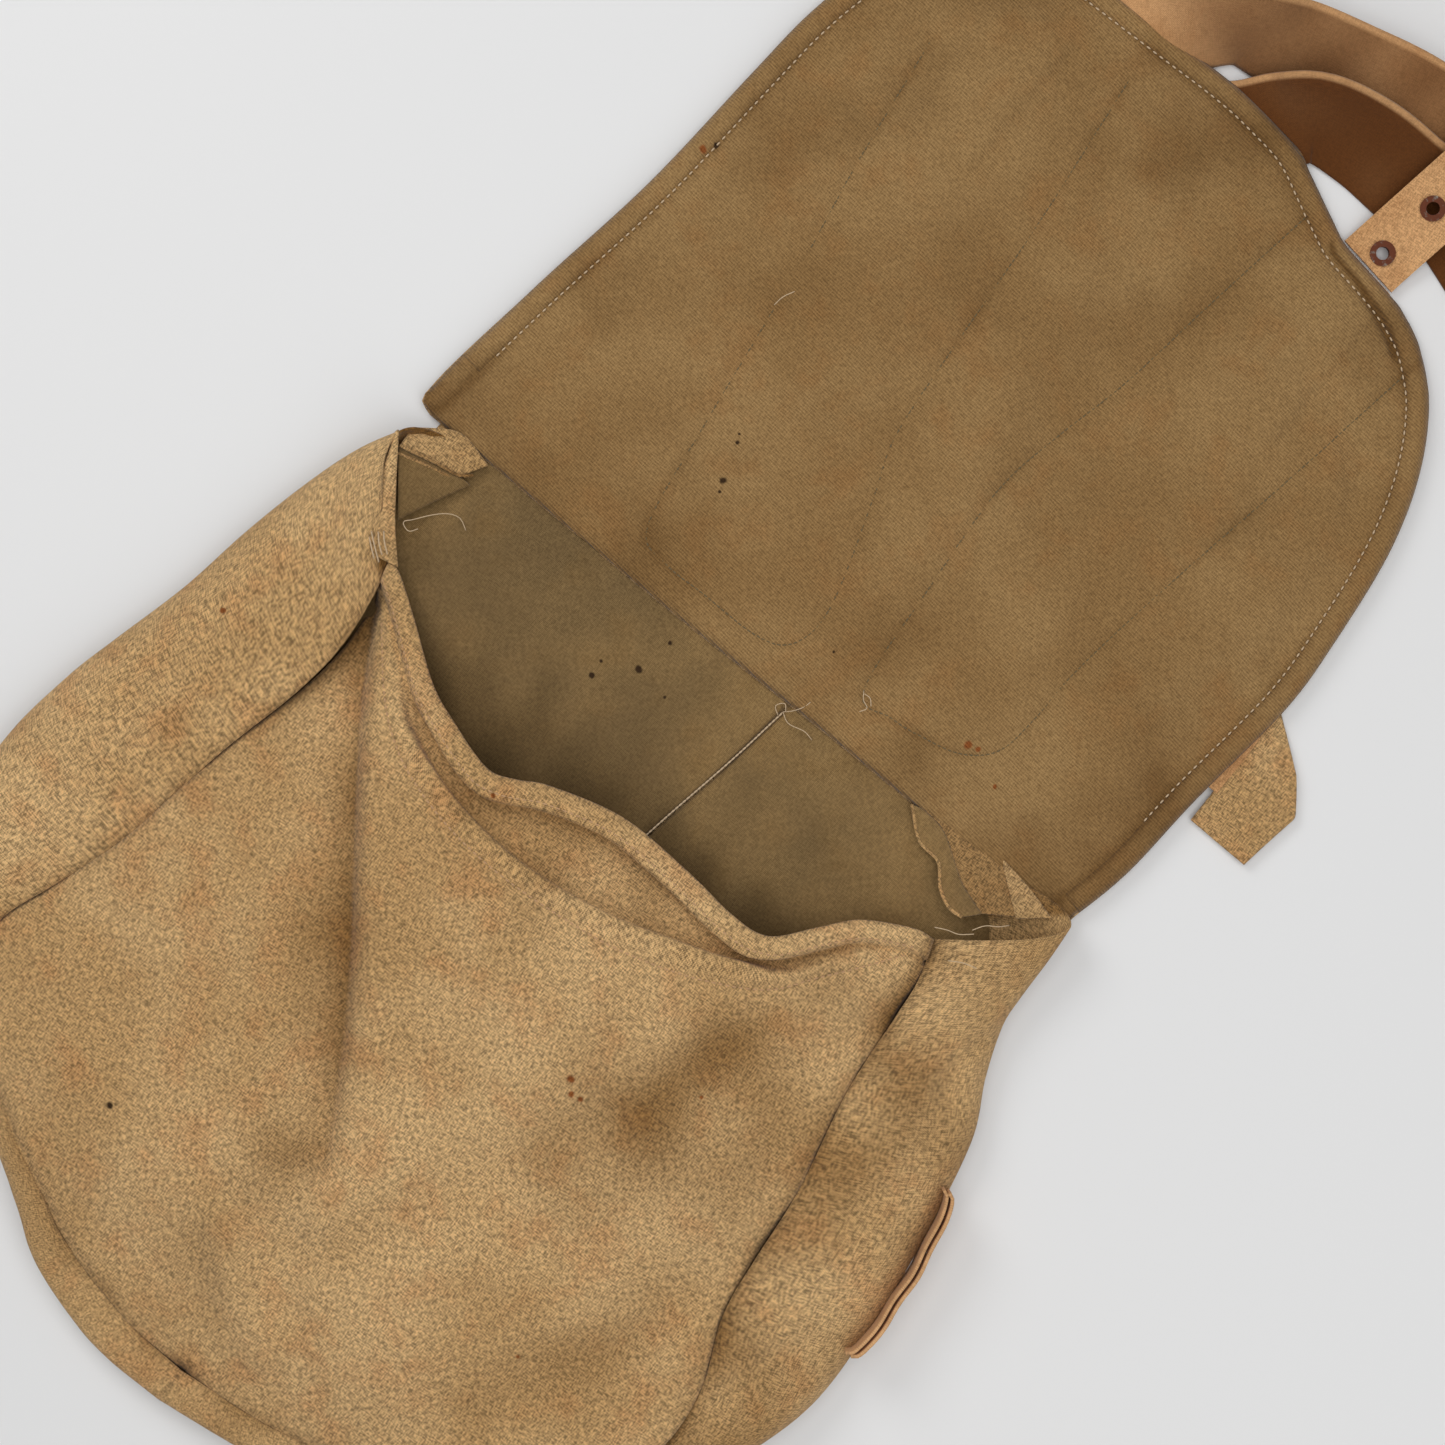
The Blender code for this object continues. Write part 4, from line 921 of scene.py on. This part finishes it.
FLAP_FOLDS = [([(-150, 20), (-120, 60), (-90, 110), (-84, 170)], -2.4, 18, 18, 40),
              ([(-60, 60), (-46, 130), (-62, 200), (-60, 280)], 4.1, 22, 26, 50),
              ([(20, 60), (24, 140), (10, 220), (14, 300)], 4.8, 16, 22, 60),
              ([(60, 110), (92, 170), (100, 240)], -2.4, 18, 20, 50),
              ([(170, 60), (176, 130), (190, 200), (190, 260)], 4.4, 16, 14, 50),
              ([(90, 60), (112, 100), (110, 150)], 3.4, 15, 15, 40),
              ([(206, 20), (208, 80), (214, 150), (214, 220)], -2.2, 8, 10, 40),
              ([(-190, 60), (-184, 140), (-178, 230)], 3.1, 10, 12, 50),
              ([(-30, 20), (0, 60), (24, 92)], -1.8, 12, 12, 25),
              ([(150, 290), (176, 268), (196, 240)], 3.1, 9, 12, 25)]
FLAP_SPOTS = [(-78, 86, 2.0, INK_STAIN), (-80, 90, 1.4, INK_STAIN), (-71, 66, 2.6, INK_STAIN),
              (-69, 60, 1.4, INK_STAIN), (115, 38, 3.0, RUST_STAIN), (121, 40, 2.2, RUST_STAIN),
              (140, 30, 1.6, RUST_STAIN), (-188, 194, 2.8, RUST_STAIN), (-184, 200, 2.0, INK_STAIN),
              (30, 32, 1.2, INK_STAIN)]
flap_drill = canvas("flap_drill", FLAP_TAN, FLAP_BROWN, FLAP_OCHRE, FLAP_SOIL_AND_SHADE, pitch=1.5, twill=True,
                    seed=2.1, grain=0.36, spots=FLAP_SPOTS)
edge_line = curve(FLAP_LEFT[1:] + FLAP_FAR[1:] + FLAP_RIGHT[-2::-1], 420)
flap_plan = patch(curve(FLAP_FOLD, 160), curve(FLAP_FAR, 160), curve(FLAP_LEFT, 160), curve(FLAP_RIGHT, 160))


top_row = [tuple(point) for point in inward(edge_line, TOPSTITCH)[14:-24:6]]


def flap_height(x, y):
    rise = FLAP_LEVEL + 1.4 * ripple(x, y, 31, 120) + 0.7 * ripple(x, y, 32, 45) + 0.3 * ripple(x, y, 33, 18)
    for points, high, left, right, fade in FLAP_FOLDS:
        rise = rise + crease(x, y, points, high, left, right, fade)
    for low_x, high_x, low_y, high_y, high in STRAP_SHOWS:
        block = soft(low_x - 1.2, low_x + 1.2, x) * soft(high_x + 1.2, high_x - 1.2, x)
        rise = rise + high * block * soft(low_y - 1.2, low_y + 1.2, y) * soft(high_y + 30, high_y, y)
    for row in (LEFT_U_LOW, LEFT_U_HIGH, RIGHT_U):
        rise = rise - 1.5 * np.exp(-(beside(x, y, row)[0] / 2.2) ** 2)
    edge = np.abs(beside(x, y, edge_line[::8], 90)[0])
    rise = FLAP_LEVEL + (rise - FLAP_LEVEL) * soft(0, 30, edge)
    rise = rise + crease(x, y, HEM_SPLIT, -2.6, 1.2, 2.6, 8)
    rise = rise - 1.1 * np.exp(-((edge - TOPSTITCH) / 2.0) ** 2)
    rise = rise + 1.2 * np.exp(-((edge - 5.5) / 4.5) ** 2)
    return rise - 2.8 * soft(3.0, 0.0, edge) - 2.4 * soft(0.0, -4.0, y)


# How dark each vertex of the flap is painted: painted shade in the grooves of the topstitch and quilting rows
# and in the split of the hem; darker near the fold, at the right below y 200, towards the left and at the far
# end; a random cloud of tone.
def flap_marks(x, y):
    edge = np.abs(beside(x, y, edge_line[::8], 90)[0])
    soil_and_shade = 0.30 * np.exp(-((edge - TOPSTITCH) / 2.5) ** 2) + 0.25 * soft(60, 0, y)
    soil_and_shade = soil_and_shade + 0.32 * soft(120, 215, x) * soft(200, 60, y) + 0.18 * soft(-60, -200, x)
    soil_and_shade = soil_and_shade + 0.3 * soft(290, 375, y)
    for row in (LEFT_U_LOW, LEFT_U_HIGH, RIGHT_U):
        soil_and_shade = soil_and_shade + 0.22 * np.exp(-(beside(x, y, row)[0] / 2.2) ** 2)
    soil_and_shade = soil_and_shade + crease(x, y, HEM_SPLIT, 1.0, 1.4, 1.8, 8)
    return np.clip(soil_and_shade + 0.30 * ripple(x, y, 35, 100) + 0.12 * ripple(x, y, 36, 40), 0, 1)


def flap_place(a, b):
    x, y = flap_plan(a, b)
    return x, y, flap_height(x, y), x, y


def outer_place(a, b):
    x, y = flap_plan(a, b)
    grown = 1 + 0.9 / 210
    level = flap_height(x, y)
    under = np.minimum(mix(level - 1.5, 6.8, 0.75), level - DRILL_WALL - 1.2)
    return (x - 5) * grown + 5, (y - 190) * grown + 190.2, under, x, y


def hem_place(a, b):
    line = read(edge_line, mix(0.022, 0.990, a))
    way = read(np.gradient(edge_line[:, :2], axis=0), mix(0.022, 0.990, a))
    way = way / np.hypot(way[:, 0], way[:, 1])[:, None]
    gap = b * (TOPSTITCH + 1.2) - 0.8
    x, y = line[:, 0] + way[:, 1] * gap, line[:, 1] - way[:, 0] * gap
    lift = 0.75 * soft(0, 0.12, b) * soft(1.0, 0.86, b) - 0.5 * soft(0.9, 1.0, b)
    return x, y, flap_height(x, y) + lift - 1.6 * soft(0.10, 0.0, b), x, y


lining = cloth("flap_lining_drill", 150, 140, flap_place, DRILL_WALL, flap_drill, flap_marks)
outer = cloth("flap_outer_canvas", 90, 84, outer_place, CANVAS_WALL, tan_canvas, lambda x, y: 0.3 + 0 * x)
hem = cloth("flap_hem_drill", 420, 9, hem_place, DRILL_WALL, flap_drill, flap_marks)
hem.data.flip_normals()
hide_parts("flap_lining")
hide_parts("flap_outer")
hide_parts("flap_hem")
for piece, name in ((lining, "lining"), (outer, "canvas"), (hem, "lining")):
    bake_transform(piece)
stitches("flap_topstitch", [top_row], lambda x, y: flap_height(x, y) + 1.15, "flap", pale_thread,
         pitch=4.2, long=2.6, thick=0.5)
stitches("flap_quilting", [LEFT_U_LOW, LEFT_U_HIGH, RIGHT_U], lambda x, y: flap_height(x, y) + 0.15, "flap",
         dark_thread, pitch=2.9, long=2.4, thick=0.36)
loose_threads("quilting_ends", [
    [(-108, 154, 10), (-107, 160, 11), (-104, 166, 11.5)],
    [(55, 26, 10.5), (58, 22, 12), (62, 20, 12.2), (60, 16, 11.8)],
    [(56, 25, 10.5), (60, 25, 11.8), (63, 22, 11.6)]], "flap", pale_thread)

# Strap patches and sewn ends
# Under the flap, two round-ended canvas patches back the straps. The straps' and the tab's ends are
# stitched flat against them.

for node, finish in (("strap_patch_left", flat_canvas), ("strap_patch_right", flat_canvas),
                     ("long_strap_sewn_end", flat_webbing), ("tail_sewn_end", flat_webbing),
                     ("side_tab_sewn_end", flat_webbing), ("buckle_chape", flat_webbing),
                     ("strap_keeper", flat_webbing)):
    frame["nodes"][node].data.materials.clear()
    frame["nodes"][node].data.materials.append(finish.material)

# Straps
# Heavy cotton webbing. The long strap leaves the flap's left corner, stands on its edge round a loop and
# ends at the buckle; the tail with eyelets leaves the right corner. Both curl a little across.

STRAP_WALL = 2.0
STRAP_WIDTH = 50.0
STRAP_LEVEL = 1.3
LONG_STRAP = [(-93, 330.6, 3.6, 0), (-93, 338, 3.6, 0), (-91, 350, 3.6, 0), (-76, 374, 3.6, 0)]
STRAP_LEANS = [(-50, 391, 12), (-28, 404, 40), (-6, 419, 54), (18, 429, 34), (50, 438, 24), (85, 446, 22),
               (135, 451, 13), (185, 463, 22),
               (226, 462, 70), (254, 436, 86), (252, 404, 94), (224, 388, 120), (186, 398, 152),
               (143, 413, 163), (111, 413.5, 160), (82, 413, 150), (54, 407, 142),
               (38, 395, 163), (24, 380, 175), (2, 364, 180),
               (-40, 347, 180), (-85, 343, 180), (-130, 357, 180), (-172, 377, 180)]
LONG_STRAP += [(x, y, STRAP_LEVEL + abs(sin(radians(lean))) * STRAP_WIDTH / 2, lean)
               for x, y, lean in STRAP_LEANS]


def strap_place(stations, width, curl, wave):
    """A band swept along x, y, z, lean; curl bows it across its width."""
    line = curve(stations, 400)
    way = np.gradient(line[:, :3], axis=0)
    way = way / np.linalg.norm(way, axis=1)[:, None]
    left = np.cross([0, 0, 1], way)
    left = left / np.linalg.norm(left, axis=1)[:, None]
    rise = np.cross(way, left)
    lean = np.radians(line[:, 3])[:, None]
    across = left * np.cos(lean) + rise * np.sin(lean)
    up = np.cross(way, across)
    reach = np.sum(np.linalg.norm(np.diff(line[:, :3], axis=0), axis=1))

    def place(a, b):
        centre, side, out = read(line[:, :3], a), read(across, a), read(up, a)
        bow = curl * (1 - (2 * b - 1) ** 2) * np.sin(pi * a) ** 0.5
        bow = bow + wave * np.sin(a * 31) * (2 * b - 1) * np.sin(pi * a)
        bow = bow + 0.5 * np.exp(-((np.abs(2 * b - 1) - 0.9) / 0.08) ** 2)
        spot = centre + side * ((b - 0.5) * width)[:, None] + out * bow[:, None]
        return spot[:, 0], spot[:, 1], np.maximum(spot[:, 2], 1.2), a * reach, b * width
    return place


# The strap's face darkens along its length, most on the inner run: partly the other face's own brown, partly
# painted shade where the face leans away from the lamp. The selvages stay lighter, a painted highlight along
# the edges.
def strap_marks(a, b):
    selvage = soft(0.84, 0.92, 2 * b - 1)
    face = 0.62 * soft(0.06, 0.16, a) + 0.34 * soft(0.50, 0.56, a) + 0.10 * ripple(a * 900, b * 50, 41, 60)
    return np.clip(face * (1 - 0.75 * selvage) , 0, 1)


strap = cloth("long_strap_webbing", 340, 24, strap_place(LONG_STRAP, STRAP_WIDTH, 3.2, 0.15), STRAP_WALL,
              webbing, strap_marks, "shares")
strap.modifiers["wall"].offset = 0
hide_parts("long_strap")
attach(strap, "flap")

# Tail strap
# A narrower strap with a row of eyelets. It folds at the flap's right corner and lies over the long strap.

tail = frame["nodes"]["tail_strap"]
tail.data.materials.clear()
tail.data.materials.append(flat_webbing.material)

# Eyelets
# Turned steel eyelets and washers, once painted, now rusted where the strap holds damp against them.

STEEL_GREY = tint(128, 122, 112)
RUST_BROWN = tint(78, 42, 24)
RUST_RED = tint(116, 58, 30)
rusted = Finish("rusted_steel", 0.6)
rusted_place = rusted.place()
rust_cloud = rusted.noise(rusted_place, 260.0, 4.0, 0.65)
rust_fine = rusted.noise(rusted_place, 1400.0, 2.0, 0.6)
rust_share = rust_cloud.ramp(0.30, 0.44)
rusted.colour(rusted.mix(rust_share, STEEL_GREY, rusted.mix(rust_fine, RUST_BROWN, RUST_RED)))
rusted.feed("Metallic", 0.85 - rust_share * 0.75)
rusted.feed("Roughness", 0.42 + rust_share * 0.42)
rusted.bump(rust_cloud * 0.5 + rust_fine * 0.5, 0.0004, 0.6)
for node, thing in frame["nodes"].items():
    if node.startswith("eyelet") or node in ("buckle_frame", "buckle_prong"):
        thing.data.materials.clear()
        thing.data.materials.append(rusted.material)

# Side tab
# A short closing tab of doubled canvas, sewn under the flap's right edge, its end cut to a blunt point.

TAB_LOW = [(231.5, 81), (250, 80.5), (268, 80)]
TAB_HIGH = [(231.5, 156), (246, 145), (260, 134)]
TAB_ROOT = [(231.5, 81), (231.5, 118), (231.5, 156)]
TAB_END = [(268, 80), (270.5, 97), (273, 112), (273.4, 116), (271, 120), (265, 128), (260, 134)]
tab_plan = patch(curve(TAB_LOW, 40), curve(TAB_HIGH, 40), curve(TAB_ROOT, 40), curve(TAB_END, 40))


def tab_place(a, b):
    x, y = tab_plan(a, b)
    rim = np.minimum(np.minimum(a, 1 - a) * 40, np.minimum(b, 1 - b) * 60)
    return x, y, 3.6 + 0.9 * soft(0, 2.5, rim) + 0.5 * ripple(x, y, 51, 30) + 1.2 * a, x, y


tab = cloth("side_tab_canvas", 40, 60, tab_place, 2.4, tan_canvas, lambda x, y: 0.15 + 0 * x)
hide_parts("side_tab")
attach(tab, "side_tab")
